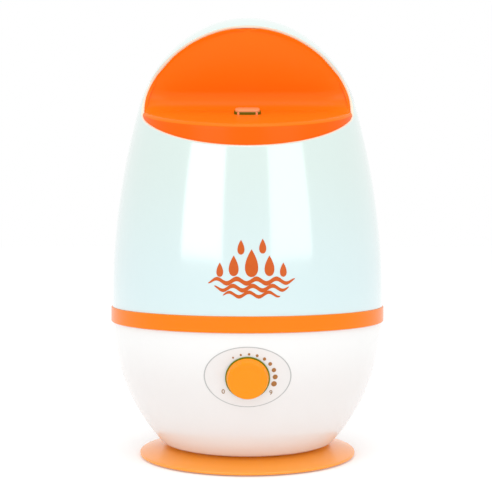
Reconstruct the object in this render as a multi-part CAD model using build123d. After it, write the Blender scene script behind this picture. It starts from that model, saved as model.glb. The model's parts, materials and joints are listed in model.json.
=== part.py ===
from build123d import *
import math
import os

# Egg-shaped cool mist humidifier. Millimetres and degrees.
# The egg's axis is Z, it stands on Z = 0 and its knob faces -Y.

# ---- Outer form -------------------------------------------------------------
# Tank: three tangent arcs from the waist to the crown. Each arc ends at the slope given.
TANK_R = 114.2
EQUATOR_Z = 130.7
SIDE_ARC = 599.6
SIDE_END = 16.0
SHOULDER_ARC = 103.4
SHOULDER_END = 63.6
TANK_WALL = 2.8

# Bowl: two tangent arcs and a rounded bottom edge, as centre radius, centre height and arc.
BOWL_ARC = 151.2
BOWL_CENTRE = (-37.9, 116.1)
BOWL_ARC_END = 34.9
BELLY_ARC = 193.0
BOWL_EDGE_R = 8.0
BOWL_FLOOR_Z = 11.0
BOWL_WALL = 2.8
BOWL_OPENING_R = 56.0

BAND_R = 115.2
BAND_BOTTOM = 114.2
BAND_TOP = 126.7
BAND_SPIGOT_TOP = 118.2
BAND_GAP = 0.5

FOOT_R = 91.3
FOOT_INNER_R = 64.0
FOOT_RIM_BOTTOM = 1.0
FOOT_RIM_TOP = 3.2
FOOT_WALL = 2.4

# ---- Mouth of the tank and mist hood, as lines in the YZ plane ---------------
MOUTH_FRONT = (-97.0, 257.3)
MOUTH_SLOPE = 22.6
MOUTH_BACK = (-43.6, 357.0)
BACK_LEAN = 24.3
MOUTH_CORNER_R = 32.0
CREASE_FRONT = (-97.0, 271.0)
HOOD_SLOPE = 13.0
HOOD_CORNER_R = 15.0
HOOD_SETBACK = 1.0
HOOD_WALL = 2.6
HOOD_LINING = 1.6
FASCIA_R = 87.2
FASCIA_Y = -9.7
HOOD_SKIRT = 7.0
BOND = 0.05

# ---- Mist path ----------------------------------------------------------------
TUBE_Y = -42.0
TUBE_R = 13.0
TUBE_BORE = 11.0
TUBE_BOTTOM = 106.0
TUBE_CUT_ABOVE = 300.0
NOZZLE_R = 11.0
NOZZLE_HEIGHT = 5.6
NOZZLE_BARREL_R = 8.92
NOZZLE_HOLE_R = 9.0
NOZZLE_BORE = 7.4

# ---- Tank floor, filler neck and cap --------------------------------------------
TANK_BOTTOM = BAND_TOP + BAND_GAP
FLOOR_THICK = 2.6
SKIRT_R = 109.4
SKIRT_WALL = 2.6
SEAT_Z = 110.4
NECK_Y = 50.0
NECK_R = 22.0
NECK_BORE = 18.6
NECK_BOTTOM = 113.0
CAP_R = 26.0
CAP_INNER_R = 23.9
CAP_TOP = 124.0
CAP_FLOOR = 2.5
GASKET_THICK = 1.5
LUG_COUNT = 3
LUG_ANGLE = 24.0

# ---- Valve in the cap --------------------------------------------------------------
STEM_R = 3.0
BUTTON_R = 5.0
BUTTON_THICK = 3.0
VALVE_LIFT = 4.0
SEAL_R = 11.5

# ---- Basin --------------------------------------------------------------------------
DECK_TOP = 100.0
SHEET = 2.4
BASIN_R = 106.2
FLANGE_R = 110.0
CHAMBER_R = 28.0
CHAMBER_BOTTOM = 74.0
WELL_R = 31.0
WELL_BOTTOM = 84.0
POST_TOP = 95.0
CHANNEL_WIDTH = 16.0
CHANNEL_BOTTOM = 88.0
STANDPIPE_X = 50.0
STANDPIPE_R = 13.0
STANDPIPE_TOP = 118.0
FLOAT_X = -50.0
FLOAT_POST_R = 3.0
FLOAT_R = 11.0
FLOAT_HEIGHT = 10.0
FLOAT_TRAVEL = 8.0
TRANSDUCER_HOLE_R = 12.0

# ---- Fan and duct ----------------------------------------------------------------------
FAN_SIZE = 52.0
FAN_BOTTOM = 57.0
FAN_DEPTH = 15.0
FAN_BORE = 23.5
FAN_HOLE_PITCH = 43.0
BLADE_COUNT = 7

# ---- Knob and dial -----------------------------------------------------------------------
KNOB_Z = 79.5
KNOB_R = 16.3
KNOB_TOP_R = 15.3
KNOB_HEIGHT = 6.0
DIAL_WIDTH = 66.7
DIAL_HEIGHT = 49.0
DIAL_THICK = 1.2
POT_R = 8.5
POT_DEPTH = 9.0
BUSHING_R = 4.0
BUSHING_TOP = 2.4
NUT_THICK = 1.6
KNOB_SKIN = 1.2
SHAFT_R = 3.0

# ---- Fasteners and mains inlet -----------------------------------------------------------
SCREW_R = 1.5
SCREW_HEAD_R = 2.8
SCREW_HEAD = 1.8
FOOT_SCREW_RADIUS = 60.0
BASIN_SCREW_RADIUS = 107.75
PAD_OUTER_R = 80.0
PAD_INNER_R = 72.0
PAD_TOP = 3.0
INLET_Z = 35.0
INLET_FACE_Y = 83.0
INLET_SIZE = (26.0, 17.0)
INLET_DEPTH = 17.0
PIN_PITCH = 8.6
GRILLE_SLOTS = 9

FAR = 400.0
UP = (Align.CENTER, Align.CENTER, Align.MIN)


# ---- Small helpers ---------------------------------------------------------------------------
def disc(radius, bottom, top, x=0.0, y=0.0):
    """An upright cylinder between two heights."""
    return Pos(x, y, bottom) * Cylinder(radius, top - bottom, align=UP)


def ring(outer, inner, bottom, top, x=0.0, y=0.0):
    """An upright tube between two heights."""
    return disc(outer, bottom, top, x, y) - disc(inner, bottom - 1, top + 1, x, y)


def block(size_x, size_y, bottom, top, x=0.0, y=0.0):
    """An upright box between two heights."""
    return Pos(x, y, bottom) * Box(size_x, size_y, top - bottom, align=UP)


def around(piece, count, start=0.0):
    """Copies of a piece spaced evenly about Z."""
    return [Rot(0, 0, start + i * 360 / count) * piece for i in range(count)]


def polar(centre, radius, angle):
    """The point on a circle at an angle in degrees."""
    a = math.radians(angle)
    return (centre[0] + radius * math.cos(a), centre[1] + radius * math.sin(a))


def turned(edges):
    """The solid of revolution of a closed outline of radius and height."""
    return revolve(Plane.XZ * make_face(edges), Axis.Z)


def polygon_turned(points):
    """The solid of revolution of a straight-sided outline."""
    return revolve(Plane.XZ * make_face(Polyline(*points, close=True)), Axis.Z)


# ---- Surfaces that several pieces share ------------------------------------------------------
def egg(inset, bottom=TANK_BOTTOM):
    """The filled tank form, its skin moved inwards by inset."""
    side_centre = (TANK_R - SIDE_ARC, EQUATOR_Z)
    shoulder_centre = polar(side_centre, SIDE_ARC - SHOULDER_ARC, SIDE_END)
    crown_arc = SHOULDER_ARC + shoulder_centre[0] / math.cos(math.radians(SHOULDER_END))
    crown_centre = polar(shoulder_centre, SHOULDER_ARC - crown_arc, SHOULDER_END)
    crown_centre = (0.0, crown_centre[1])
    apex = (0.0, crown_centre[1] + crown_arc - inset)
    waist = (TANK_R - inset, EQUATOR_Z)
    return turned([
        Line((0, bottom), (TANK_R - inset, bottom)),
        Line((TANK_R - inset, bottom), waist),
        CenterArc(side_centre, SIDE_ARC - inset, 0, SIDE_END),
        CenterArc(shoulder_centre, SHOULDER_ARC - inset, SIDE_END, SHOULDER_END - SIDE_END),
        CenterArc(crown_centre, crown_arc - inset, SHOULDER_END, 90 - SHOULDER_END),
        Line(apex, (0, bottom)),
    ])


def bowl(inset):
    """The filled bowl form up to the band, its skin moved inwards by inset."""
    top_angle = -math.degrees(math.asin((BOWL_CENTRE[1] - BAND_BOTTOM) / (BOWL_ARC - inset)))
    belly_centre = polar(BOWL_CENTRE, BELLY_ARC - BOWL_ARC, 180 - BOWL_ARC_END)
    drop = belly_centre[1] - BOWL_FLOOR_Z - BOWL_EDGE_R
    edge_angle = math.degrees(math.asin(drop / (BELLY_ARC - BOWL_EDGE_R)))
    edge_centre = polar(belly_centre, BELLY_ARC - BOWL_EDGE_R, -edge_angle)
    floor = BOWL_FLOOR_Z + inset
    top = polar(BOWL_CENTRE, BOWL_ARC - inset, top_angle)
    return turned([
        CenterArc(BOWL_CENTRE, BOWL_ARC - inset, top_angle, -BOWL_ARC_END - top_angle),
        CenterArc(belly_centre, BELLY_ARC - inset, -BOWL_ARC_END, BOWL_ARC_END - edge_angle),
        CenterArc(edge_centre, BOWL_EDGE_R - inset, -edge_angle, edge_angle - 90),
        Line((edge_centre[0], floor), (0, floor)),
        Line((0, floor), (0, top[1])),
        Line((0, top[1]), top),
    ])


def scoop(front, slope, setback, corner_r, depth=0.0):
    """The space above a sloping floor line and before the leaning back line, all across X.

    depth moves both lines away from that space, so two depths bound a sheet of even thickness.
    """
    a, b = math.radians(slope), math.radians(BACK_LEAN)
    floor_y = front[0] + depth * math.sin(a)
    floor_z = front[1] - depth * math.cos(a)
    back_y = MOUTH_BACK[0] + (setback + depth) * math.cos(b)
    back_z = MOUTH_BACK[1] + (setback + depth) * math.sin(b)
    reach = (back_y - floor_y + (back_z - floor_z) * math.tan(b)) / (1 + math.tan(a) * math.tan(b))
    corner = (floor_y + reach, floor_z + reach * math.tan(a))
    low = (-FAR, floor_z - (FAR + floor_y) * math.tan(a))
    high = (corner[0] - FAR * math.tan(b), corner[1] + FAR)
    side = make_face(Polyline(low, corner, high, (-FAR, high[1]), close=True))
    side = fillet(side.vertices().sort_by_distance((corner[0], corner[1], 0))[0], corner_r + depth)
    return extrude(Plane.YZ * side, TANK_R + 10, both=True)


def mouth(depth=0.0):
    """The notch that opens the front of the tank."""
    return scoop(MOUTH_FRONT, MOUTH_SLOPE, 0.0, MOUTH_CORNER_R, depth)


def hood_air(depth=0.0):
    """The open space over the mist hood."""
    return scoop(CREASE_FRONT, HOOD_SLOPE, HOOD_SETBACK, HOOD_CORNER_R, depth)


def nozzle_plane():
    """The plane of the hood's floor at the nozzle, with Z along the nozzle's axis."""
    a = math.radians(HOOD_SLOPE)
    height = CREASE_FRONT[1] + (TUBE_Y - CREASE_FRONT[0]) * math.tan(a)
    return Plane(origin=(0, TUBE_Y, height), x_dir=(1, 0, 0), z_dir=(0, -math.sin(a), math.cos(a)))


def knob_plane():
    """The plane tangent to the bowl under the knob, with Z pointing out along the shaft."""
    a = math.asin((BOWL_CENTRE[1] - KNOB_Z) / BOWL_ARC)
    radius = BOWL_CENTRE[0] + BOWL_ARC * math.cos(a)
    return Plane(origin=(0, -radius, KNOB_Z), x_dir=(1, 0, 0), z_dir=(0, -math.cos(a), -math.sin(a)))


def screw(top, length, x, y):
    """A pan-head screw that points down, its head standing on the height given."""
    head = disc(SCREW_HEAD_R, top, top + SCREW_HEAD, x, y)
    slot = block(2 * SCREW_HEAD_R, 0.6, top + SCREW_HEAD - 0.7, top + SCREW_HEAD + 1, x, y)
    return head + disc(SCREW_R, top - length, top, x, y) - slot


def flipped_screw(bottom, length, x, y):
    """A pan-head screw that points up, its head hanging below the height given."""
    return Pos(0, 0, 2 * bottom) * (mirror(screw(bottom, length, x, y), Plane.XY))


# ---- Base: foot, bowl and band -----------------------------------------------------------------
def foot_screw_places():
    return [polar((0, 0), FOOT_SCREW_RADIUS, 45 + 90 * i) for i in range(4)]


BOARD_Y = -20.0
BOARD_SIZE = (66.0, 42.0)
BOARD_Z = 16.0
BOARD_THICK = 1.6
TRANSFORMER_Y = 26.0
CORE_SIZE = (42.0, 20.0, 33.0)
STRAP_REACH = 28.0


def board_holes():
    dx, dy = BOARD_SIZE[0] / 2 - 4, BOARD_SIZE[1] / 2 - 4
    return [(sx * dx, BOARD_Y + sy * dy) for sx in (-1, 1) for sy in (-1, 1)]


def foot_plate():
    plate = polygon_turned([
        (0, BOWL_FLOOR_Z - FOOT_WALL),
        (FOOT_INNER_R - 1, BOWL_FLOOR_Z - FOOT_WALL),
        (FOOT_R - FOOT_WALL, FOOT_RIM_BOTTOM),
        (FOOT_R, FOOT_RIM_BOTTOM),
        (FOOT_R, FOOT_RIM_TOP),
        (FOOT_INNER_R, BOWL_FLOOR_Z),
        (0, BOWL_FLOOR_Z),
    ])
    plate += ring(PAD_OUTER_R + 2, PAD_INNER_R - 2, FOOT_RIM_BOTTOM + 0.5, PAD_TOP + 2.5)
    plate -= ring(PAD_OUTER_R, PAD_INNER_R, 0, PAD_TOP)
    for x, y in board_holes():
        plate += ring(3.2, SCREW_R, BOWL_FLOOR_Z - 1, BOARD_Z, x, y)
    for x, y in foot_screw_places():
        plate -= disc(SCREW_R, 0, 20, x, y)
    for sx in (-1, 1):
        plate -= disc(SCREW_R, BOWL_FLOOR_Z - 2, 20, sx * STRAP_REACH, TRANSFORMER_Y)
    return plate


def rubber_foot_ring():
    return ring(PAD_OUTER_R, PAD_INNER_R, 0, PAD_TOP)


def foot_screws():
    return [flipped_screw(BOWL_FLOOR_Z - FOOT_WALL, 12, x, y) for x, y in foot_screw_places()]


def dial_prism(grow=0.0):
    """The dial's oval carried through the wall of the bowl along the knob's axis."""
    oval = Ellipse(DIAL_WIDTH / 2 + grow, DIAL_HEIGHT / 2 + grow)
    return extrude(knob_plane() * oval, 20, both=True)


def on_knob(radius, low, high):
    """A cylinder on the knob's axis between two distances out from the bowl."""
    return knob_plane() * Pos(0, 0, low) * Cylinder(radius, high - low, align=UP)


def grille_slot():
    slot = extrude(Plane.XZ * SlotOverall(26, 2.6, rotation=90), -60)
    return Pos(0, 70, 61) * slot


def inlet_block(grow, back, both=False):
    """The inlet's rounded block, from its face back into the bowl."""
    outline = RectangleRounded(INLET_SIZE[0] + 2 * grow, INLET_SIZE[1] + 2 * grow, 6)
    return Pos(0, INLET_FACE_Y, INLET_Z) * extrude(Plane.XZ * outline, back, both=both)


def basin_screw_places():
    return [polar((0, 0), BASIN_SCREW_RADIUS, 30 + 60 * i) for i in range(6)]


def lower_housing():
    seat_top = SEAT_Z - SHEET
    house = bowl(0) - bowl(BOWL_WALL)
    house -= disc(110.4, BAND_BOTTOM - 4, BAND_BOTTOM + 1)
    house -= disc(BOWL_OPENING_R, BOWL_FLOOR_Z - 1, BOWL_FLOOR_Z + BOWL_WALL + 1)
    house += ring(111.9, 110.4, BAND_BOTTOM - 2, BAND_SPIGOT_TOP)
    seat = disc(FAR, seat_top - SHEET, seat_top) & bowl(BOWL_WALL / 2)
    house += seat - disc(BASIN_R + 0.2, 0, FAR)
    for x, y in foot_screw_places():
        house += disc(4, BOWL_FLOOR_Z + 1, 24, x, y)
        house -= disc(SCREW_R, 0, 22, x, y)
    for x, y in basin_screw_places():
        house -= disc(SCREW_R - 0.3, seat_top - 4, SEAT_Z + 1, x, y)
    house -= dial_prism(0.1) - bowl(DIAL_THICK)
    house -= on_knob(BUSHING_R + 0.1, -10, 10)
    for i in range(GRILLE_SLOTS):
        house -= Rot(0, 0, (i - (GRILLE_SLOTS - 1) / 2) * 3.8) * grille_slot()
    house -= inlet_block(0.1, 40, both=True)
    return house


def waist_band():
    return polygon_turned([
        (111.95, BAND_BOTTOM),
        (BAND_R - 0.4, BAND_BOTTOM),
        (BAND_R, BAND_BOTTOM + 0.4),
        (BAND_R, BAND_TOP - 0.4),
        (BAND_R - 0.4, BAND_TOP),
        (110.6, BAND_TOP),
        (110.6, BAND_SPIGOT_TOP + 0.2),
        (111.95, BAND_SPIGOT_TOP + 0.2),
    ])


# ---- Basin and what it carries ---------------------------------------------------------------------
def well_hollow(grow, top):
    """The nebulising chamber, valve well and channel as one hollow, grown outwards and down."""
    hollow = disc(CHAMBER_R - SHEET + grow, CHAMBER_BOTTOM + SHEET - grow, top, 0, TUBE_Y)
    hollow += disc(WELL_R - SHEET + grow, WELL_BOTTOM + SHEET - grow, top, 0, NECK_Y)
    length = NECK_Y - TUBE_Y
    middle = (NECK_Y + TUBE_Y) / 2
    return hollow + block(CHANNEL_WIDTH + 2 * grow, length, CHANNEL_BOTTOM - grow, top, 0, middle)


def basin():
    tray = disc(BASIN_R, DECK_TOP - SHEET, SEAT_Z) + disc(FLANGE_R, SEAT_Z - SHEET, SEAT_Z)
    tray -= disc(BASIN_R - SHEET, DECK_TOP, SEAT_Z + 1)
    tray -= well_hollow(0, DECK_TOP + 1)
    tray -= disc(STANDPIPE_R - 2, 0, FAR, STANDPIPE_X, 0)
    post_top = DECK_TOP + FLOAT_HEIGHT + FLOAT_TRAVEL + 3
    tray += disc(FLOAT_POST_R, DECK_TOP - 1, post_top, FLOAT_X, 0)
    for x, y in basin_screw_places():
        tray -= disc(SCREW_R, 0, FAR, x, y)
        tray -= disc(2.2, SEAT_Z - 1.2, FAR, x, y)
    return tray


def water_well():
    well = well_hollow(SHEET, DECK_TOP - SHEET - BOND) - well_hollow(0, FAR)
    well -= disc(TRANSDUCER_HOLE_R, CHAMBER_BOTTOM - 1, CHAMBER_BOTTOM + 5, 0, TUBE_Y)
    well += disc(3.5, WELL_BOTTOM + 1, POST_TOP, 0, NECK_Y)
    for x, y in transducer_screw_places():
        well -= disc(SCREW_R - 0.3, CHAMBER_BOTTOM - 1, CHAMBER_BOTTOM + 1.8, x, y)
    return well


def standpipe():
    pipe = disc(STANDPIPE_R, DECK_TOP + BOND, STANDPIPE_TOP, STANDPIPE_X, 0)
    return pipe - disc(STANDPIPE_R - 2, 0, FAR, STANDPIPE_X, 0)


def basin_screws():
    screws = []
    for x, y in basin_screw_places():
        shank = disc(SCREW_R - 0.3, SEAT_Z - SHEET - 4, SEAT_Z - 1.2, x, y)
        screws.append(disc(2.2, SEAT_Z - 1.2, SEAT_Z, x, y) + shank)
    return screws


def transducer_screw_places():
    return [(p[0], p[1] + TUBE_Y) for p in (polar((0, 0), 20, 90 + 120 * i) for i in range(3))]


def transducer_holder():
    plate = ring(24, 7, CHAMBER_BOTTOM - 5, CHAMBER_BOTTOM, 0, TUBE_Y)
    plate -= disc(TRANSDUCER_HOLE_R, CHAMBER_BOTTOM - 3, CHAMBER_BOTTOM + 1, 0, TUBE_Y)
    for x, y in transducer_screw_places():
        plate -= disc(SCREW_R - 0.3, 0, FAR, x, y)
    return plate


def transducer_seal():
    return ring(TRANSDUCER_HOLE_R, 9.5, CHAMBER_BOTTOM - 1.8, CHAMBER_BOTTOM, 0, TUBE_Y)


def transducer_disc():
    return disc(11.5, CHAMBER_BOTTOM - 3, CHAMBER_BOTTOM - 1.8, 0, TUBE_Y)


def transducer_screws():
    screws = []
    base = CHAMBER_BOTTOM - 5
    for x, y in transducer_screw_places():
        shank = disc(SCREW_R - 0.3, base, CHAMBER_BOTTOM + 1.8, x, y)
        screws.append(disc(SCREW_HEAD_R, base - SCREW_HEAD, base, x, y) + shank)
    return screws


def float_retainer():
    low = DECK_TOP + FLOAT_HEIGHT + FLOAT_TRAVEL + 1
    return ring(5.5, FLOAT_POST_R, low, low + 1.5, FLOAT_X, 0)


def level_switch():
    top = DECK_TOP - SHEET
    return block(16, 10, top - 6, top, FLOAT_X, 0) + disc(1.6, top - 10, top - 5, FLOAT_X, 0)


def float_ring():
    floater = ring(FLOAT_R, FLOAT_POST_R + 0.3, DECK_TOP, DECK_TOP + FLOAT_HEIGHT, FLOAT_X, 0)
    return floater - ring(7.5, 4.8, DECK_TOP + 1, DECK_TOP + 4, FLOAT_X, 0)


def float_magnet():
    return ring(7.5, 4.8, DECK_TOP + 1, DECK_TOP + 4, FLOAT_X, 0)


# ---- Electronics on the foot plate --------------------------------------------------------------------
def driver_board():
    board = block(*BOARD_SIZE, BOARD_Z, BOARD_Z + BOARD_THICK, 0, BOARD_Y)
    for x, y in board_holes():
        board -= disc(SCREW_R, 0, FAR, x, y)
    return board


def board_screws():
    return [screw(BOARD_Z + BOARD_THICK, 6, x, y) for x, y in board_holes()]


def board_capacitors():
    top = BOARD_Z + BOARD_THICK
    sizes = [(-20, -8, 6, 15), (-20, 7, 5, 12), (-6, -9, 3.2, 8)]
    return [disc(r, top, top + h, x, BOARD_Y + y) for x, y, r, h in sizes]


def heat_sink():
    top = BOARD_Z + BOARD_THICK
    sink = block(30, 2.4, top, top + 24, 12, BOARD_Y + 8)
    for i in range(6):
        sink += block(1.4, 8, top + 2, top + 24, -1.3 + i * 5.3, BOARD_Y + 12)
    return sink


def power_transistor():
    top = BOARD_Z + BOARD_THICK
    body = block(10, 4.4, top + 6, top + 21, 12, BOARD_Y + 8 - 1.2 - 2.2)
    for i in (-1, 0, 1):
        body += block(0.9, 0.6, top, top + 7, 12 + i * 2.5, BOARD_Y + 4.6)
    return body


def transformer_core():
    width, depth, height = CORE_SIZE
    core = block(width, depth, BOWL_FLOOR_Z, BOWL_FLOOR_Z + height, 0, TRANSFORMER_Y)
    for sx in (-1, 1):
        window = block(width / 6, depth + 2, BOWL_FLOOR_Z + 7, BOWL_FLOOR_Z + height - 7)
        core -= Pos(sx * width / 4, TRANSFORMER_Y, 0) * window
    return core


def transformer_coil():
    width, depth, height = CORE_SIZE
    low, high = BOWL_FLOOR_Z + 7, BOWL_FLOOR_Z + height - 7
    coil = block(width * 2 / 3, depth + 12, low, high, 0, TRANSFORMER_Y)
    return coil - block(width / 3, depth, low - 1, high + 1, 0, TRANSFORMER_Y)


def transformer_strap():
    width, _, height = CORE_SIZE
    low, top = BOWL_FLOOR_Z, BOWL_FLOOR_Z + height
    strap = block(width + 2, 14, low, top + 1, 0, TRANSFORMER_Y)
    strap += block(2 * STRAP_REACH + 10, 14, low, low + 1, 0, TRANSFORMER_Y)
    strap -= block(width, 16, low - 1, top, 0, TRANSFORMER_Y)
    for sx in (-1, 1):
        strap -= disc(SCREW_R, 0, low + 2, sx * STRAP_REACH, TRANSFORMER_Y)
    return strap


def transformer_screws():
    return [screw(BOWL_FLOOR_Z + 1, 3, sx * STRAP_REACH, TRANSFORMER_Y) for sx in (-1, 1)]


# ---- Fan -------------------------------------------------------------------------------------------------
def fan_hole_places():
    half = FAN_HOLE_PITCH / 2
    return [(STANDPIPE_X + sx * half, sy * half) for sx in (-1, 1) for sy in (-1, 1)]


def fan_frame():
    top = FAN_BOTTOM + FAN_DEPTH
    frame = block(FAN_SIZE, FAN_SIZE, FAN_BOTTOM, top, STANDPIPE_X, 0)
    frame -= disc(FAN_BORE, 0, FAR, STANDPIPE_X, 0)
    frame += disc(11, FAN_BOTTOM, FAN_BOTTOM + 2.5, STANDPIPE_X, 0)
    for i in range(4):
        strut = Rot(0, 0, 45 + 90 * i) * block(FAN_BORE, 3, FAN_BOTTOM, FAN_BOTTOM + 2.5, FAN_BORE / 2 + 1)
        frame += Pos(STANDPIPE_X, 0, 0) * strut
    frame += disc(3.5, FAN_BOTTOM + 2, FAN_BOTTOM + 7, STANDPIPE_X, 0)
    frame -= disc(SCREW_R + 0.05, FAN_BOTTOM - 1, FAN_BOTTOM + 8, STANDPIPE_X, 0)
    for x, y in fan_hole_places():
        frame -= disc(SCREW_R, 0, FAR, x, y)
    return frame


def fan_rotor():
    low, high = FAN_BOTTOM + 3.2, FAN_BOTTOM + FAN_DEPTH - 0.8
    rotor = disc(10.5, low, high)
    rotor -= disc(8.8, low - 1, high - 2)
    rotor += disc(4, high - 6, high)
    rotor -= disc(SCREW_R, 0, FAR)
    for i in range(BLADE_COUNT):
        blade = Pos(16, 0, (low + high) / 2) * (Rot(32, 0, 0) * Box(12.6, 1.2, 11))
        rotor += Rot(0, 0, i * 360 / BLADE_COUNT) * (blade - disc(9.5, 0, FAR))
    rotor = rotor & disc(FAN_BORE - 0.9, low, high)
    return Pos(STANDPIPE_X, 0, 0) * rotor


def fan_shaft():
    return disc(SCREW_R, FAN_BOTTOM + 0.5, FAN_BOTTOM + FAN_DEPTH - 0.8, STANDPIPE_X, 0)


def air_duct():
    low, high = FAN_BOTTOM + FAN_DEPTH, DECK_TOP - SHEET
    rise = high - low - 3
    duct = block(FAN_SIZE, FAN_SIZE, low, low + 3, STANDPIPE_X, 0)
    duct += Pos(STANDPIPE_X, 0, low + 3) * Cone(FAN_BORE + 1.6, STANDPIPE_R, rise, align=UP)
    duct -= Pos(STANDPIPE_X, 0, low + 3) * Cone(FAN_BORE - 0.4, STANDPIPE_R - 2, rise, align=UP)
    duct -= disc(FAN_BORE - 0.4, 0, low + 3, STANDPIPE_X, 0)
    for x, y in fan_hole_places():
        duct -= disc(SCREW_R, 0, FAR, x, y)
    return duct


def fan_screws():
    return [flipped_screw(FAN_BOTTOM, FAN_DEPTH + 3, x, y) for x, y in fan_hole_places()]


# ---- Knob and dial ---------------------------------------------------------------------------------------------
def dial_plate():
    plate = (bowl(0) - bowl(DIAL_THICK)) & dial_prism()
    plate = plate & block(FAR, FAR, 0, FAR, 0, -FAR / 2)
    return plate - on_knob(BUSHING_R + 0.1, -10, 10)


def potentiometer():
    face = -BOWL_WALL - 0.4
    body = on_knob(POT_R, face - POT_DEPTH, face) - on_knob(POT_R - 1.4, face - POT_DEPTH + 1.4, face - 1.4)
    for sx in (-1, 0, 1):
        body += knob_plane() * Pos(sx * 4, -POT_R - 1.5, face - POT_DEPTH / 2) * Box(1.4, 6, 0.8)
    body += on_knob(BUSHING_R, face - 1, BUSHING_TOP)
    return body - on_knob(SHAFT_R + 0.05, face - 2, BUSHING_TOP + 1)


def pot_nut():
    nut = knob_plane() * extrude(RegularPolygon(6.2, 6), NUT_THICK)
    return nut - on_knob(BUSHING_R, -1, 4)


def pot_shaft():
    wiper = on_knob(6, -BOWL_WALL - 0.4 - POT_DEPTH + 3, -BOWL_WALL - 0.4 - POT_DEPTH + 5)
    return wiper + on_knob(SHAFT_R, -BOWL_WALL - 0.4 - POT_DEPTH + 4, KNOB_HEIGHT - KNOB_SKIN)


def knob():
    body = knob_plane() * Pos(0, 0, 0.5) * Cone(KNOB_R, KNOB_TOP_R, KNOB_HEIGHT - 0.5, align=UP)
    body = fillet(body.edges().sort_by_distance(knob_plane().from_local_coords((0, 0, 60)))[0], 1.4)
    body -= on_knob(12.5, 0, KNOB_HEIGHT - 2)
    body += on_knob(5.5, BUSHING_TOP + 0.4, KNOB_HEIGHT - KNOB_SKIN)
    return body - on_knob(SHAFT_R, 0, KNOB_HEIGHT - KNOB_SKIN)


# ---- Mains inlet ---------------------------------------------------------------------------------------------------
def inlet_hole(radius, depth, sx):
    """A pin-sized cylinder going back from the inlet's face."""
    return Pos(sx * PIN_PITCH / 2, INLET_FACE_Y, INLET_Z) * extrude(Plane.XZ * Circle(radius), depth)


def mains_inlet():
    socket = inlet_block(0, INLET_DEPTH)
    flange = RectangleRounded(INLET_SIZE[0] + 6, INLET_SIZE[1] + 5, 6)
    socket += Pos(0, INLET_FACE_Y - INLET_DEPTH + 3, INLET_Z) * extrude(Plane.XZ * flange, 3)
    neck = Pos(0, INLET_FACE_Y, INLET_Z) * extrude(Plane.XZ * Rectangle(PIN_PITCH, 6), 11)
    for sx in (-1, 1):
        socket -= inlet_hole(4.2, 11, sx)
        socket -= inlet_hole(1.15, INLET_DEPTH + 2, sx)
    return socket - neck


def inlet_pins():
    start = Pos(0, -3, 0)
    return [start * inlet_hole(1.15, INLET_DEPTH, sx) for sx in (-1, 1)]


# ---- Water tank ------------------------------------------------------------------------------------------------------
def tank_shell():
    return egg(0) - egg(TANK_WALL, TANK_BOTTOM - 5) - mouth()


def bayonet(inner, outer, low, high, start):
    """The lugs of one half of the bayonet."""
    half = math.radians(LUG_ANGLE / 2)
    wedge = Polyline((0, 0), (60 * math.cos(half), -60 * math.sin(half)),
                     (60 * math.cos(half), 60 * math.sin(half)), close=True)
    sector = Pos(0, 0, low) * extrude(make_face(wedge), high - low)
    lug = ring(outer, inner, low, high) & sector
    return [Pos(0, NECK_Y, 0) * piece for piece in around(lug, LUG_COUNT, start)]


def tank_floor():
    top = TANK_BOTTOM + FLOOR_THICK
    plate = disc(TANK_R - TANK_WALL, TANK_BOTTOM, top)
    plate += ring(SKIRT_R, SKIRT_R - SKIRT_WALL, SEAT_Z, TANK_BOTTOM + 1)
    plate += disc(NECK_R, NECK_BOTTOM, top, 0, NECK_Y)
    plate -= disc(NECK_BORE, 0, FAR, 0, NECK_Y)
    plate -= disc(TUBE_R, 0, FAR, 0, TUBE_Y)
    for lug in bayonet(NECK_R - 0.5, CAP_INNER_R - 0.3, 116, 118, 90):
        plate += lug
    return plate


def mist_tube():
    tube = ring(TUBE_R, TUBE_BORE, TUBE_BOTTOM, TUBE_CUT_ABOVE, 0, TUBE_Y)
    return tube - hood_air(HOOD_WALL)


def mist_hood():
    inner = TANK_WALL + BOND
    front = disc(FASCIA_R, CREASE_FRONT[1] - 40, CREASE_FRONT[1] + 40, 0, FASCIA_Y)
    body = (front & mouth()) + (egg(inner) & (mouth(HOOD_SKIRT) + hood_air(HOOD_SKIRT)))
    air = hood_air() & (egg(inner + HOOD_LINING) + mouth())
    core = egg(inner + HOOD_WALL, 0) - hood_air(HOOD_WALL)
    hood = body - air - core
    bore = nozzle_plane() * Pos(0, 0, -10) * Cylinder(NOZZLE_HOLE_R, 20, align=UP)
    return hood - bore


def mist_nozzle():
    lip_top = -HOOD_WALL - 0.3
    turret = Pos(0, 0, 0.3) * Cylinder(NOZZLE_R, NOZZLE_HEIGHT, align=UP)
    turret = fillet(turret.edges().sort_by(Axis.Z)[-1], 1.0)
    turret += Pos(0, 0, lip_top - 0.8) * Cylinder(NOZZLE_BARREL_R, 2 - lip_top, align=UP)
    turret += Pos(0, 0, lip_top - 0.8) * Cylinder(9.5, 0.8, align=UP)
    turret -= Pos(0, 0, lip_top - 2) * Cylinder(NOZZLE_BORE, 4.2 - lip_top + 1.4, align=UP)
    turret -= Pos(0, -NOZZLE_R, 1.3) * Box(14, NOZZLE_R + 4, 2.3, align=UP)
    return nozzle_plane() * turret


# ---- Tank cap and its valve ------------------------------------------------------------------------------------------
CAP_BOTTOM = NECK_BOTTOM - GASKET_THICK - CAP_FLOOR
CAP_DECK = CAP_BOTTOM + CAP_FLOOR
SEAT_RING_TOP = CAP_DECK + 1.0
SEAL_BOTTOM = SEAT_RING_TOP + VALVE_LIFT
BRIDGE_BOTTOM = 126.0


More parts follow.
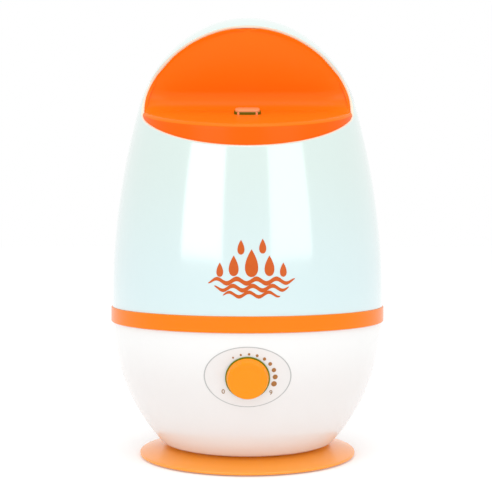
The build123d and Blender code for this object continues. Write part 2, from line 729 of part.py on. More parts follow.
def tank_cap():
    y = NECK_Y
    cap = ring(CAP_R, CAP_INNER_R, CAP_BOTTOM, CAP_TOP, 0, y) + disc(CAP_R, CAP_BOTTOM, CAP_DECK, 0, y)
    cap += ring(12, 10, CAP_DECK - 1, SEAT_RING_TOP, 0, y)
    cap += ring(17.4, 15.4, CAP_DECK - 1, BRIDGE_BOTTOM + 2, 0, y)
    cap += block(32, 7, BRIDGE_BOTTOM, BRIDGE_BOTTOM + 2, 0, y)
    cap += disc(6, CAP_BOTTOM - 2, CAP_DECK, 0, y)
    cap -= disc(STEM_R + 0.08, 0, FAR, 0, y)
    for hole in around(disc(1.4, CAP_BOTTOM - 1, CAP_DECK + 1, 8), 6):
        cap -= Pos(0, y, 0) * hole
    for window in around(block(8, 8, CAP_DECK + 1, BRIDGE_BOTTOM, 16.4), 6, 30):
        cap -= Pos(0, y, 0) * window
    for rib in around(disc(1.2, CAP_BOTTOM + 1, CAP_TOP - 1, CAP_R), 24):
        cap += Pos(0, y, 0) * rib
    for lug in bayonet(NECK_R + 0.3, CAP_INNER_R + 0.5, 118.2, 120.4, 90):
        cap += lug
    return cap


def cap_gasket():
    return ring(NECK_R, NECK_BORE, CAP_DECK, NECK_BOTTOM, 0, NECK_Y)


def valve_stem():
    stem = disc(STEM_R, POST_TOP, SEAL_BOTTOM + 8, 0, NECK_Y)
    stem += disc(BUTTON_R, POST_TOP, POST_TOP + BUTTON_THICK, 0, NECK_Y)
    return stem + disc(BUTTON_R, SEAL_BOTTOM + 2, SEAL_BOTTOM + 3.5, 0, NECK_Y)


def valve_seal():
    return ring(SEAL_R, STEM_R, SEAL_BOTTOM, SEAL_BOTTOM + 2, 0, NECK_Y)


def valve_spring():
    wire, radius = 0.4, 4.0
    low, high = SEAL_BOTTOM + 3.5 + wire, BRIDGE_BOTTOM - wire
    path = Helix(pitch=(high - low) / 3, height=high - low, radius=radius)
    section = Plane(origin=path @ 0, z_dir=path % 0) * Circle(wire)
    return Pos(0, NECK_Y, low) * sweep(section, path=path, is_frenet=True)


# ---- Write every node --------------------------------------------------------------------------------------------------
NODES = [
    foot_plate, rubber_foot_ring, foot_screws, lower_housing, waist_band, basin, basin_screws,
    water_well, standpipe, transducer_holder, transducer_seal, transducer_disc, transducer_screws,
    float_retainer, level_switch, float_ring, float_magnet, driver_board, board_screws, board_capacitors,
    heat_sink, power_transistor, transformer_core, transformer_coil, transformer_strap,
    transformer_screws, fan_frame, fan_rotor, fan_shaft, air_duct, fan_screws, dial_plate,
    potentiometer, pot_nut, pot_shaft, knob, mains_inlet, inlet_pins, tank_shell, tank_floor,
    mist_tube, mist_hood, mist_nozzle, tank_cap, cap_gasket, valve_stem, valve_seal, valve_spring,
]

os.makedirs("parts", exist_ok=True)
for node in NODES:
    made = node()
    solids = made if isinstance(made, list) else made.solids()
    export_step(Compound(children=[Solid(s.solids()[0].wrapped) for s in solids]), f"parts/{node.__name__}.step")
    print(node.__name__, len(solids))
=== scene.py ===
"""Egg-shaped cool mist humidifier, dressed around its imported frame.

Metres, +Z up, the knob faces -Y.
"""

import json
import logging
import math
from collections.abc import Sequence
from dataclasses import dataclass, field
from enum import Enum

import bmesh
import bpy
import numpy as np
from mathutils import Matrix, Vector


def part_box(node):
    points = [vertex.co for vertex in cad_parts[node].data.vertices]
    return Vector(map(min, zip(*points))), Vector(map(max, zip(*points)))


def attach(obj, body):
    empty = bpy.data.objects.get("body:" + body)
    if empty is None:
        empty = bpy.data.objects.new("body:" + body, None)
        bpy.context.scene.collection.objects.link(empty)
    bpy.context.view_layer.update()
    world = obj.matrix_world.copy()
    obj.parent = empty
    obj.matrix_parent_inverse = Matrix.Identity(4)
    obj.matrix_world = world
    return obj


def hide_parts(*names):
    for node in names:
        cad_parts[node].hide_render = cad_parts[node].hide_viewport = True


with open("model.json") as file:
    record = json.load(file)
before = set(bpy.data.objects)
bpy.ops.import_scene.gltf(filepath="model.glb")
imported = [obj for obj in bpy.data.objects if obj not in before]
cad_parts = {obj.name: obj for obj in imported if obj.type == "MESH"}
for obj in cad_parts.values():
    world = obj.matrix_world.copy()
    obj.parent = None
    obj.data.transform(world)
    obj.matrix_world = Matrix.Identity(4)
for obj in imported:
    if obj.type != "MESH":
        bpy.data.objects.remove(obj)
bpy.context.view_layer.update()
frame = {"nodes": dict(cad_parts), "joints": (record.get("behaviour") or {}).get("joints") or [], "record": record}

LOG = logging.getLogger("humidifier")
MM = 0.001
Point2 = tuple[float, float]
QUARTERS = ((-1, -1), (1, -1), (1, 1), (-1, 1))


class Body(Enum):
    """The moving bodies of the frame that finished pieces ride on."""

    BASE = "root"
    KNOB = "knob"
    TANK = "tank"
    NOZZLE = "nozzle"


# ---------------------------------------------------------------------------
# Finishes
# ---------------------------------------------------------------------------
def linear(red: int, green: int, blue: int) -> tuple[float, float, float, float]:
    """A display colour of 0 to 255 per channel as linear light.

    Args:
        red: The red channel.
        green: The green channel.
        blue: The blue channel.

    Returns:
        The colour, with an alpha of 1.
    """
    parts = []
    for value in (red, green, blue):
        share = value / 255
        parts.append(share / 12.92 if share <= 0.04045 else ((share + 0.055) / 1.055) ** 2.4)
    return (*parts, 1.0)


@dataclass
class NodeSheet:
    """A material's node tree with short calls to add and join nodes."""

    material: bpy.types.Material

    def add(self, kind: str, **settings: object) -> bpy.types.Node:
        """Add a node and set its properties.

        Args:
            kind: The node's type.
            settings: Its properties by name.

        Returns:
            The new node.
        """
        node = self.material.node_tree.nodes.new(kind)
        for key, value in settings.items():
            setattr(node, key, value)
        return node

    def join(self, source: bpy.types.NodeSocket, target: bpy.types.NodeSocket) -> None:
        """Join an output to an input."""
        self.material.node_tree.links.new(source, target)

    def noise(self, scale: float, detail: float, rough: float = 0.5) -> bpy.types.NodeSocket:
        """A noise field in the object's own space.

        Args:
            scale: Waves per metre.
            detail: How many finer layers it holds.
            rough: How strong the finer layers are.

        Returns:
            The noise's value output.
        """
        place = self.add("ShaderNodeTexCoord")
        noise = self.add("ShaderNodeTexNoise")
        noise.inputs["Scale"].default_value = scale
        noise.inputs["Detail"].default_value = detail
        noise.inputs["Roughness"].default_value = rough
        self.join(place.outputs["Object"], noise.inputs["Vector"])
        return noise.outputs["Fac"]

    def spread(self, value: bpy.types.NodeSocket, low: float, high: float) -> bpy.types.NodeSocket:
        """Map a 0 to 1 value onto another range.

        Args:
            value: The value to map.
            low: What 0 becomes.
            high: What 1 becomes.

        Returns:
            The mapped value.
        """
        ranged = self.add("ShaderNodeMapRange")
        ranged.inputs["To Min"].default_value = low
        ranged.inputs["To Max"].default_value = high
        self.join(value, ranged.inputs["Value"])
        return ranged.outputs["Result"]

    def blend(
        self,
        share: bpy.types.NodeSocket,
        first: Sequence[float],
        second: Sequence[float],
    ) -> bpy.types.NodeSocket:
        """Mix two fixed colours by a value.

        Args:
            share: 0 for the first colour, 1 for the second.
            first: The first colour.
            second: The second colour.

        Returns:
            The mixed colour.
        """
        mix = self.add("ShaderNodeMix", data_type="RGBA")
        mix.inputs["A"].default_value = first
        mix.inputs["B"].default_value = second
        self.join(share, mix.inputs["Factor"])
        return mix.outputs["Result"]


def fresh_material(name: str) -> tuple[NodeSheet, bpy.types.Node]:
    """A new material with its shader.

    Args:
        name: The material's name.

    Returns:
        Its node sheet and its shader node.
    """
    material = bpy.data.materials.new(name)
    material.use_nodes = True
    shader = material.node_tree.nodes["Principled BSDF"]
    return NodeSheet(material), shader


@dataclass(frozen=True)
class MouldedPlastic:
    """Injection-moulded plastic: even colour with faint flow, fine grain and a glossy or satin skin."""

    name: str
    colour: tuple[int, int, int]
    roughness: float = 0.25
    coat: float = 0.0
    specular: float = 0.5
    mottle: float = 0.03
    grain: float = 0.02
    grain_scale: float = 900.0
    glow: float = 0.0
    # A colour at low_z that grades into the main colour by high_z; on the bowl this grade is painted shade and
    # painted highlight.
    low_colour: tuple[int, int, int] | None = None
    low_z: float = 0.0
    high_z: float = 1.0

    def build(self) -> bpy.types.Material:
        """Build the material's nodes.

        Returns:
            The material.
        """
        sheet, shader = fresh_material(self.name)
        base = linear(*self.colour)
        deep = tuple(c * (1 - self.mottle) for c in base[:3]) + (1.0,)
        colour = sheet.blend(sheet.noise(14.0, 3.0), deep, base)
        if self.low_colour is not None:
            colour = self._graded(sheet, colour)
        sheet.join(colour, shader.inputs["Base Color"])
        flow = sheet.noise(60.0, 4.0)
        rough = sheet.spread(flow, self.roughness * 0.85, self.roughness * 1.15)
        sheet.join(rough, shader.inputs["Roughness"])
        bump = sheet.add("ShaderNodeBump")
        bump.inputs["Strength"].default_value = self.grain
        bump.inputs["Distance"].default_value = 0.1 * MM
        sheet.join(sheet.noise(self.grain_scale, 5.0, 0.6), bump.inputs["Height"])
        sheet.join(bump.outputs["Normal"], shader.inputs["Normal"])
        shader.inputs["Coat Weight"].default_value = self.coat
        shader.inputs["Coat Roughness"].default_value = 0.1
        shader.inputs["Specular IOR Level"].default_value = self.specular
        if self.glow > 0:
            shader.inputs["Subsurface Weight"].default_value = self.glow
            shader.inputs["Subsurface Radius"].default_value = (1.0, 1.0, 1.0)
            shader.inputs["Subsurface Scale"].default_value = 3 * MM
        return sheet.material

    def _graded(self, sheet: NodeSheet, colour: bpy.types.NodeSocket) -> bpy.types.NodeSocket:
        """Shade the colour from one tint at the bottom to another at the top.

        Args:
            sheet: The material's node sheet.
            colour: The colour from the top height up.

        Returns:
            The shaded colour.
        """
        place = sheet.add("ShaderNodeTexCoord")
        split = sheet.add("ShaderNodeSeparateXYZ")
        sheet.join(place.outputs["Object"], split.inputs["Vector"])
        ranged = sheet.add("ShaderNodeMapRange", interpolation_type="SMOOTHSTEP")
        ranged.inputs["From Min"].default_value = self.low_z
        ranged.inputs["From Max"].default_value = self.high_z
        sheet.join(split.outputs["Z"], ranged.inputs["Value"])
        mix = sheet.add("ShaderNodeMix", data_type="RGBA")
        mix.inputs["A"].default_value = linear(*self.low_colour)
        sheet.join(ranged.outputs["Result"], mix.inputs["Factor"])
        sheet.join(colour, mix.inputs["B"])
        return mix.outputs["Result"]


@dataclass(frozen=True)
class BareMetal:
    """Turned, stamped or plated metal with fine brushing."""

    name: str
    colour: tuple[int, int, int]
    roughness: float = 0.3

    def build(self) -> bpy.types.Material:
        """Build the material's nodes.

        Returns:
            The material.
        """
        sheet, shader = fresh_material(self.name)
        base = linear(*self.colour)
        deep = tuple(c * 0.8 for c in base[:3]) + (1.0,)
        sheet.join(sheet.blend(sheet.noise(90.0, 4.0), deep, base), shader.inputs["Base Color"])
        brushed = sheet.spread(sheet.noise(700.0, 5.0), self.roughness * 0.7, self.roughness * 1.3)
        sheet.join(brushed, shader.inputs["Roughness"])
        shader.inputs["Metallic"].default_value = 1.0
        return sheet.material


@dataclass(frozen=True)
class PrintedInk:
    """Pad-printed ink: a flat colour with a slightly uneven film."""

    name: str
    colour: tuple[int, int, int]
    edge_colour: tuple[int, int, int]

    def build(self) -> bpy.types.Material:
        """Build the material's nodes.

        Returns:
            The material.
        """
        sheet, shader = fresh_material(self.name)
        film = sheet.blend(sheet.noise(420.0, 3.0), linear(*self.colour), linear(*self.edge_colour))
        sheet.join(film, shader.inputs["Base Color"])
        sheet.join(sheet.spread(sheet.noise(300.0, 2.0), 0.3, 0.45), shader.inputs["Roughness"])
        shader.inputs["Specular IOR Level"].default_value = 0.3
        return sheet.material


ORANGE = MouldedPlastic("orange_gloss", (251, 118, 15), roughness=0.3, specular=0.1, mottle=0.02)
# A darker copy of the orange for the hood's fascia: painted shade, so the fascia reads darker than the floor.
ORANGE_FASCIA_SHADED = MouldedPlastic("orange_fascia_painted_shade", (244, 99, 5), roughness=0.3, specular=0.08, mottle=0.02)
ORANGE_LIGHT = MouldedPlastic("orange_band", (246, 126, 3), roughness=0.22, specular=0.2)
ORANGE_FOOT = MouldedPlastic("orange_foot", (255, 157, 44), roughness=0.2, specular=0.6, mottle=0.01)
KNOB_ORANGE = MouldedPlastic("orange_knob", (246, 146, 14), roughness=0.25, specular=0.2)
# Dark olive for the ring round the knob's foot: painted shade standing for the shadow in the gap.
KNOB_SHADOW_RING = MouldedPlastic("knob_shadow_ring", (112, 122, 4), roughness=0.45, specular=0.15)
# Pale peach for the turret's cap and pegs: painted highlight from the light above on orange parts.
NOZZLE_CAP_HIGHLIGHT = MouldedPlastic("nozzle_painted_highlight", (250, 160, 108), roughness=0.3, specular=0.3)
# Dark olive for the turret's slot block: painted shade standing for the dark inside of the slot.
NOZZLE_SLOT_SHADE = MouldedPlastic("nozzle_painted_shade", (104, 98, 4), roughness=0.4, specular=0.1)
MINT = MouldedPlastic(
    "tank_mint", (206, 222, 217), roughness=0.14, coat=1.0, mottle=0.01,
    low_colour=(207, 227, 229), low_z=0.13, high_z=0.26,
)
# Cream for the tank's mouth rim and the lip under its wall: painted highlight for the light edge lines.
MINT_EDGE_HIGHLIGHT = MouldedPlastic("tank_edge_painted_highlight", (240, 232, 212), roughness=0.25, specular=0.3)
# The bowl's white grades darker towards the bottom and lighter towards the top: painted shade and painted
# highlight from the light above.
WHITE_SHADED_BY_HEIGHT = MouldedPlastic(
    "bowl_white_painted_shade", (238, 238, 237), roughness=0.18, mottle=0.01,
    low_colour=(231, 227, 225), low_z=0.06, high_z=0.112,
)
DIAL_WHITE = MouldedPlastic("dial_white", (230, 226, 224), roughness=0.22, mottle=0.01)
LINE_GREY = PrintedInk("line_grey", (176, 176, 174), (188, 188, 186))
DOT_INK = PrintedInk("dot_ink", (176, 112, 58), (150, 106, 50))
MARK_INK = PrintedInk("mark_ink", (150, 122, 92), (168, 140, 112))
EMBLEM_INK = PrintedInk("emblem_ink", (196, 80, 2), (206, 92, 6))

INNER_FINISHES = {
    "clear_plastic": MouldedPlastic("floor_mint", (206, 230, 224), roughness=0.2, glow=0.1),
    "basin_plastic": MouldedPlastic("basin_white", (228, 224, 216), roughness=0.4, grain=0.08),
    "grey_plastic": MouldedPlastic("grey_matt", (96, 98, 100), roughness=0.5, grain=0.1),
    "black_plastic": MouldedPlastic("black_matt", (30, 30, 31), roughness=0.45, grain=0.12),
    "rubber": MouldedPlastic("grey_rubber", (70, 70, 72), roughness=0.75, grain=0.2, specular=0.25),
    "float_foam": MouldedPlastic("float_foam", (236, 234, 226), roughness=0.8, grain=0.4),
    "steel": BareMetal("zinc_steel", (176, 178, 180), roughness=0.35),
    "brass": BareMetal("bright_brass", (214, 172, 92), roughness=0.25),
    "circuit_board": MouldedPlastic("board_green", (30, 104, 58), roughness=0.3, mottle=0.3),
    "capacitor_sleeve": MouldedPlastic("sleeve_blue", (28, 36, 84), roughness=0.2, mottle=0.1),
    "coil_tape": MouldedPlastic("winding_tape", (222, 180, 60), roughness=0.4, mottle=0.15),
    "aluminium": BareMetal("sink_aluminium", (190, 192, 194), roughness=0.4),
    "magnet": BareMetal("ferrite", (78, 78, 82), roughness=0.5),
    "white_plastic": WHITE_SHADED_BY_HEIGHT,
    "tank_plastic": MINT,
    "orange_plastic": ORANGE,
    "knob_plastic": KNOB_ORANGE,
}


# ---------------------------------------------------------------------------
# Mesh helpers
# ---------------------------------------------------------------------------
def make_piece(
    name: str,
    points: Sequence[Sequence[float]],
    faces: Sequence[Sequence[int]],
    finishes: Sequence[bpy.types.Material],
    finish_of: Sequence[int] | None = None,
    crease: float = 35.0,
) -> bpy.types.Object:
    """Make a smooth-shaded mesh object from points and faces.

    Args:
        name: The piece's name.
        points: Its vertices in metres.
        faces: Its faces as vertex numbers.
        finishes: Its materials.
        finish_of: The material number of each face, if more than one.
        crease: Edges sharper than this many degrees stay sharp.

    Returns:
        The new object, linked to the scene.
    """
    mesh = bpy.data.meshes.new(name)
    mesh.from_pydata([tuple(p) for p in points], [], [tuple(f) for f in faces])
    for finish in finishes:
        mesh.materials.append(finish)
    if finish_of is not None:
        mesh.polygons.foreach_set("material_index", list(finish_of))
    body = bmesh.new()
    body.from_mesh(mesh)
    bmesh.ops.remove_doubles(body, verts=body.verts, dist=1e-6)
    bmesh.ops.dissolve_degenerate(body, edges=body.edges, dist=1e-7)
    bmesh.ops.recalc_face_normals(body, faces=body.faces)
    body.to_mesh(mesh)
    body.free()
    smooth(mesh, crease)
    piece = bpy.data.objects.new(name, mesh)
    bpy.context.scene.collection.objects.link(piece)
    return piece


def smooth(mesh: bpy.types.Mesh, crease: float = 35.0) -> None:
    """Shade a mesh smooth but for its sharp edges."""
    mesh.polygons.foreach_set("use_smooth", [True] * len(mesh.polygons))
    mesh.set_sharp_from_angle(angle=math.radians(crease))


def grid_faces(rows: int, columns: int, wrap: bool) -> list[tuple[int, int, int, int]]:
    """The quads of a grid of points numbered row by row.

    Args:
        rows: How many rows of points.
        columns: How many points in a row.
        wrap: Whether the last column joins the first.

    Returns:
        The quads as point numbers.
    """
    faces = []
    for row in range(rows - 1):
        for column in range(columns if wrap else columns - 1):
            after = (column + 1) % columns
            here, above = row * columns, (row + 1) * columns
            faces.append((here + column, here + after, above + after, above + column))
    return faces


def rounded(corners: Sequence[tuple[float, float, float]], steps: int = 6) -> list[Point2]:
    """A closed outline with each corner rounded.

    Args:
        corners: Radius or X, height or Y, and corner radius of each corner, in order.
        steps: How many spans a rounded corner gets.

    Returns:
        The outline's points, with a close pair beside each arc that keeps flat faces flat.
    """
    outline: list[Point2] = []
    count = len(corners)
    for i, (x, y, radius) in enumerate(corners):
        here = Vector((x, y))
        before = Vector(corners[i - 1][:2]) - here
        after = Vector(corners[(i + 1) % count][:2]) - here
        if radius <= 0:
            outline.append((x, y))
            continue
        half = before.angle(after) / 2
        reach = min(radius / math.tan(half), 0.49 * before.length, 0.49 * after.length)
        before.normalize()
        after.normalize()
        guard = min(0.25, reach * 0.3 + 0.05) * (MM if reach < 0.05 else 1)
        start, end = here + before * reach, here + after * reach
        outline.append(tuple(start + before * guard))
        arc_radius = reach * math.tan(half)
        centre = here + (before + after).normalized() * (arc_radius / math.sin(half))
        from_angle = math.atan2(*(start - centre).yx)
        turn = math.atan2(*(end - centre).yx) - from_angle
        turn = (turn + math.pi) % (2 * math.pi) - math.pi
        for step in range(steps + 1):
            angle = from_angle + turn * step / steps
            outline.append((
                centre.x + arc_radius * math.cos(angle), centre.y + arc_radius * math.sin(angle),
            ))
        outline.append(tuple(end + after * guard))
    return outline


def lathe(outline: Sequence[Point2], segments: int = 192) -> tuple[list[Vector], list[tuple[int, ...]]]:
    """Turn a closed outline of radius and height about Z.

    Args:
        outline: The closed outline's points.
        segments: How many spans go round.

    Returns:
        The points and the faces.
    """
    points, count = [], len(outline)
    for radius, height in outline:
        for k in range(segments):
            angle = 2 * math.pi * k / segments
            points.append(Vector((radius * math.cos(angle), radius * math.sin(angle), height)))
    faces = grid_faces(count, segments, wrap=True)
    last = (count - 1) * segments
    for k in range(segments):
        after = (k + 1) % segments
        faces.append((last + k, last + after, after, k))
    return points, faces


def placed(points: Sequence[Vector], matrix: Matrix) -> list[Vector]:
    """Carry points through a matrix."""
    return [matrix @ p for p in points]


def settle(piece: bpy.types.Object, body: Body, slot: str, *nodes: str) -> bpy.types.Object:
    """Let a piece ride on its body and hide the plain solids that it stands for.

    Args:
        piece: The finished piece.
        body: The body it rides on.
        slot: The material slot it takes its finish from; not used.
        nodes: The plain solids that it replaces.

    Returns:
        The same piece.
    """
    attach(piece, body.value)
    if nodes:
        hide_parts(*nodes)
    LOG.info("%s rides on %s, %d faces", piece.name, body.value, len(piece.data.polygons))
    return piece


# ---------------------------------------------------------------------------
# The two outer forms and the scoops
# ---------------------------------------------------------------------------
SCOOP_FRONT_Y = -97 * MM
SCOOP_BACK = (-43.6 * MM, 357 * MM)
SCOOP_LEAN = math.radians(24.3)
HOOD_SETBACK = 1 * MM


@dataclass(frozen=True)
class Arc:
    """One arc of a turned form: centre radius and height, radius, and its span of slope angles."""

    centre_r: float
    centre_z: float
    radius: float
    start: float
    end: float

    def at(self, angle: float, inset: float) -> Point2:
        """The radius and height at a slope angle, moved inwards by inset."""
        reach = self.radius - inset
        return (self.centre_r + reach * math.cos(angle), self.centre_z + reach * math.sin(angle))


@dataclass
class TurnedForm:
    """A form turned about Z from tangent arcs, listed from its lowest slope to its highest."""

    arcs: list[Arc]
    wall_to: float | None = None

    def outline(self, inset: float, steps: int = 64) -> list[Point2]:
        """Radius and height points from the bottom up, moved inwards by inset.

        Args:
            inset: How far the skin is moved inwards.
            steps: About how many spans the outline gets.

        Returns:
            The outline's points.
        """
        points: list[Point2] = []
        if self.wall_to is not None:
            points.append((self.arcs[0].at(0.0, inset)[0], self.wall_to))
        total = sum(abs(a.end - a.start) for a in self.arcs)
        for arc in self.arcs:
            count = max(6, round(steps * abs(arc.end - arc.start) / total * 1.6))
            spans = range(count + 1)
            points += [arc.at(arc.start + (arc.end - arc.start) * k / count, inset) for k in spans]
        return points

    def radius(self, height: float, inset: float = 0.0) -> float:
        """The form's radius at a height, or 0 above its top.

        Args:
            height: Where the form is measured.
            inset: How far its skin is moved inwards.

        Returns:
            The radius there.
        """
        if self.wall_to is not None and height <= self.arcs[0].centre_z:
            return self.arcs[0].at(0.0, inset)[0]
        for arc in self.arcs:
            reach = arc.radius - inset
            low, high = (arc.centre_z + reach * math.sin(a) for a in (arc.start, arc.end))
            if height <= high + 1e-9:
                rise = max(height, low) - arc.centre_z
                return arc.centre_r + math.sqrt(max(reach * reach - rise * rise, 0.0))
        return 0.0

    def meet(self, start: Vector, along: Vector, inset: float = 0.0) -> Vector:
        """Where a ray from inside the form comes out through its skin.

        Args:
            start: A point inside the form.
            along: The ray's direction.
            inset: How far the skin is moved inwards.

        Returns:
            The point on the skin.
        """
        near, far = 0.0, 0.5
        for _ in range(48):
            middle = (near + far) / 2
            p = start + along * middle
            if math.hypot(p.x, p.y) < self.radius(p.z, inset):
                near = middle
            else:
                far = middle
        return start + along * near


def egg_form() -> TurnedForm:
    """The tank's outer form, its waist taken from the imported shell.

    Returns:
        The form, open at the bottom.
    """
    low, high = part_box("tank_shell")
    waist = (high.x - low.x) / 2
    equator, side, shoulder = 130.7 * MM, 599.6 * MM, 103.4 * MM
    side_end, shoulder_end = math.radians(16.0), math.radians(63.6)
    first = Arc(waist - side, equator, side, 0.0, side_end)
    centre = (
        first.centre_r + (side - shoulder) * math.cos(side_end),
        first.centre_z + (side - shoulder) * math.sin(side_end),
    )
    second = Arc(*centre, shoulder, side_end, shoulder_end)
    crown = shoulder + centre[0] / math.cos(shoulder_end)
    crown_z = centre[1] + (shoulder - crown) * math.sin(shoulder_end)
    third = Arc(0.0, crown_z, crown, shoulder_end, math.pi / 2)
    return TurnedForm([first, second, third], wall_to=low.z)


def bowl_form() -> TurnedForm:
    """The bowl's outer form up to the band.

    Returns:
        The form, from its floor to the band.
    """
    centre = (-37.9 * MM, 116.1 * MM)
    upper, belly, edge = 151.2 * MM, 193.0 * MM, 8.0 * MM
    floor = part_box("lower_housing")[0].z
    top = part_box("waist_band")[0].z
    split = math.radians(34.9)
    belly_r = centre[0] - (belly - upper) * math.cos(split)
    belly_z = centre[1] + (belly - upper) * math.sin(split)
    edge_angle = math.asin((belly_z - floor - edge) / (belly - edge))
    edge_r = belly_r + (belly - edge) * math.cos(edge_angle)
    top_angle = -math.asin((centre[1] - top) / upper)
    return TurnedForm([
        Arc(edge_r, floor + edge, edge, -math.pi / 2, -edge_angle),
        Arc(belly_r, belly_z, belly, -edge_angle, -split),
        Arc(centre[0], centre[1], upper, -split, top_angle),
    ])


@dataclass
class Scoop:
    """A sloping floor that turns up into a leaning back, drawn in the YZ plane."""

    front: Point2
    slope: float
    back: Point2
    lean: float
    corner_r: float
    start: Point2 = field(init=False)
    centre: Point2 = field(init=False)
    turn: float = field(init=False)

    def __post_init__(self) -> None:
        """Work out where the corner's arc starts and how far it turns."""
        rise, tip = math.tan(self.slope), math.tan(self.lean)
        reach = (self.back[0] - self.front[0] + (self.back[1] - self.front[1]) * tip) / (1 + rise * tip)
        corner = (self.front[0] + reach, self.front[1] + reach * rise)
        self.turn = math.pi / 2 + self.lean - self.slope
        cut = self.corner_r * math.tan(self.turn / 2)
        self.start = (corner[0] - cut * math.cos(self.slope), corner[1] - cut * math.sin(self.slope))
        self.centre = (
            self.start[0] - self.corner_r * math.sin(self.slope),
            self.start[1] + self.corner_r * math.cos(self.slope),
        )

    def at(self, s: float) -> Point2:
        """The point at a run s past the start of the corner's arc; s is negative on the floor.

        Args:
            s: The run along the profile.

        Returns:
            Y and Z of the point.
        """
        arc = self.corner_r * self.turn
        if s <= 0:
            return (self.start[0] + s * math.cos(self.slope), self.start[1] + s * math.sin(self.slope))
        swept = min(s, arc) / self.corner_r + self.slope
        y = self.centre[0] + self.corner_r * math.sin(swept)
        z = self.centre[1] - self.corner_r * math.cos(swept)
        beyond = max(s - arc, 0.0)
        return (y - beyond * math.sin(self.lean), z + beyond * math.cos(self.lean))

    def run_at(self, y: float) -> float:
        """The run at which the floor reaches y."""
        return (y - self.start[0]) / math.cos(self.slope)

    def ends(self, form: TurnedForm, inset: float) -> Point2:
        """The runs at which the profile leaves a form, at the front and at the top.

        Args:
            form: The form that the profile passes through.
            inset: How far the form's skin is moved inwards.

        Returns:
            The front run and the top run.
        """
        arc = self.corner_r * self.turn
        found = []
        for inside, outside in ((0.0, -0.2), (arc, arc + 0.2)):
            for _ in range(48):
                middle = (inside + outside) / 2
                y, z = self.at(middle)
                if form.radius(z, inset) + y > 0:
                    inside = middle
                else:
                    outside = middle
            found.append(inside)
        return (found[0], found[1])


def mouth_scoop() -> Scoop:
    """The scoop that opens the tank's front."""
    return Scoop((SCOOP_FRONT_Y, 257.3 * MM), math.radians(22.6), SCOOP_BACK, SCOOP_LEAN, 32 * MM)


def hood_scoop() -> Scoop:
    """The scoop of the hood's visible face, a little inside the tank's mouth."""
    back_y = SCOOP_BACK[0] + HOOD_SETBACK * math.cos(SCOOP_LEAN)
    back_z = SCOOP_BACK[1] + HOOD_SETBACK * math.sin(SCOOP_LEAN)
    return Scoop((SCOOP_FRONT_Y, 271 * MM), math.radians(13), (back_y, back_z), SCOOP_LEAN, 15 * MM)


def half_width(form: TurnedForm, inset: float, y: float, z: float) -> float:
    """How far a form reaches to each side of a point in the YZ plane."""
    return math.sqrt(max(form.radius(z, inset) ** 2 - y * y, 0.0))


def outline_on(form: TurnedForm, scoop: Scoop, inset: float, count: int) -> list[Vector]:
    """Where a scoop cuts a form, as points evenly spaced round the whole opening.

    Args:
        form: The form that is cut.
        scoop: The cutting profile.
        inset: How far the form's skin is moved inwards.
        count: How many points go round, an even number.

    Returns:
        The points, from the front middle up the right side and down the left.
    """
    first, last = scoop.ends(form, inset)
    dense = []
    for k in range(1201):
        share = (1 - math.cos(math.pi * k / 1200)) / 2
        y, z = scoop.at(first + (last - first) * share)
        dense.append((half_width(form, inset, y, z), y, z))
    dense_points = np.array(dense)
    dense_points[0, 0] = dense_points[-1, 0] = 0.0
    steps = np.linalg.norm(np.diff(dense_points, axis=0), axis=1)
    run = np.concatenate([[0.0], np.cumsum(steps)])
    wanted = np.linspace(0.0, run[-1], count // 2 + 1)
    right = np.stack([np.interp(wanted, run, dense_points[:, axis]) for axis in range(3)], axis=1)
    left = right[-2:0:-1] * np.array([-1.0, 1.0, 1.0])
    return [Vector(p) for p in np.concatenate([right, left])]


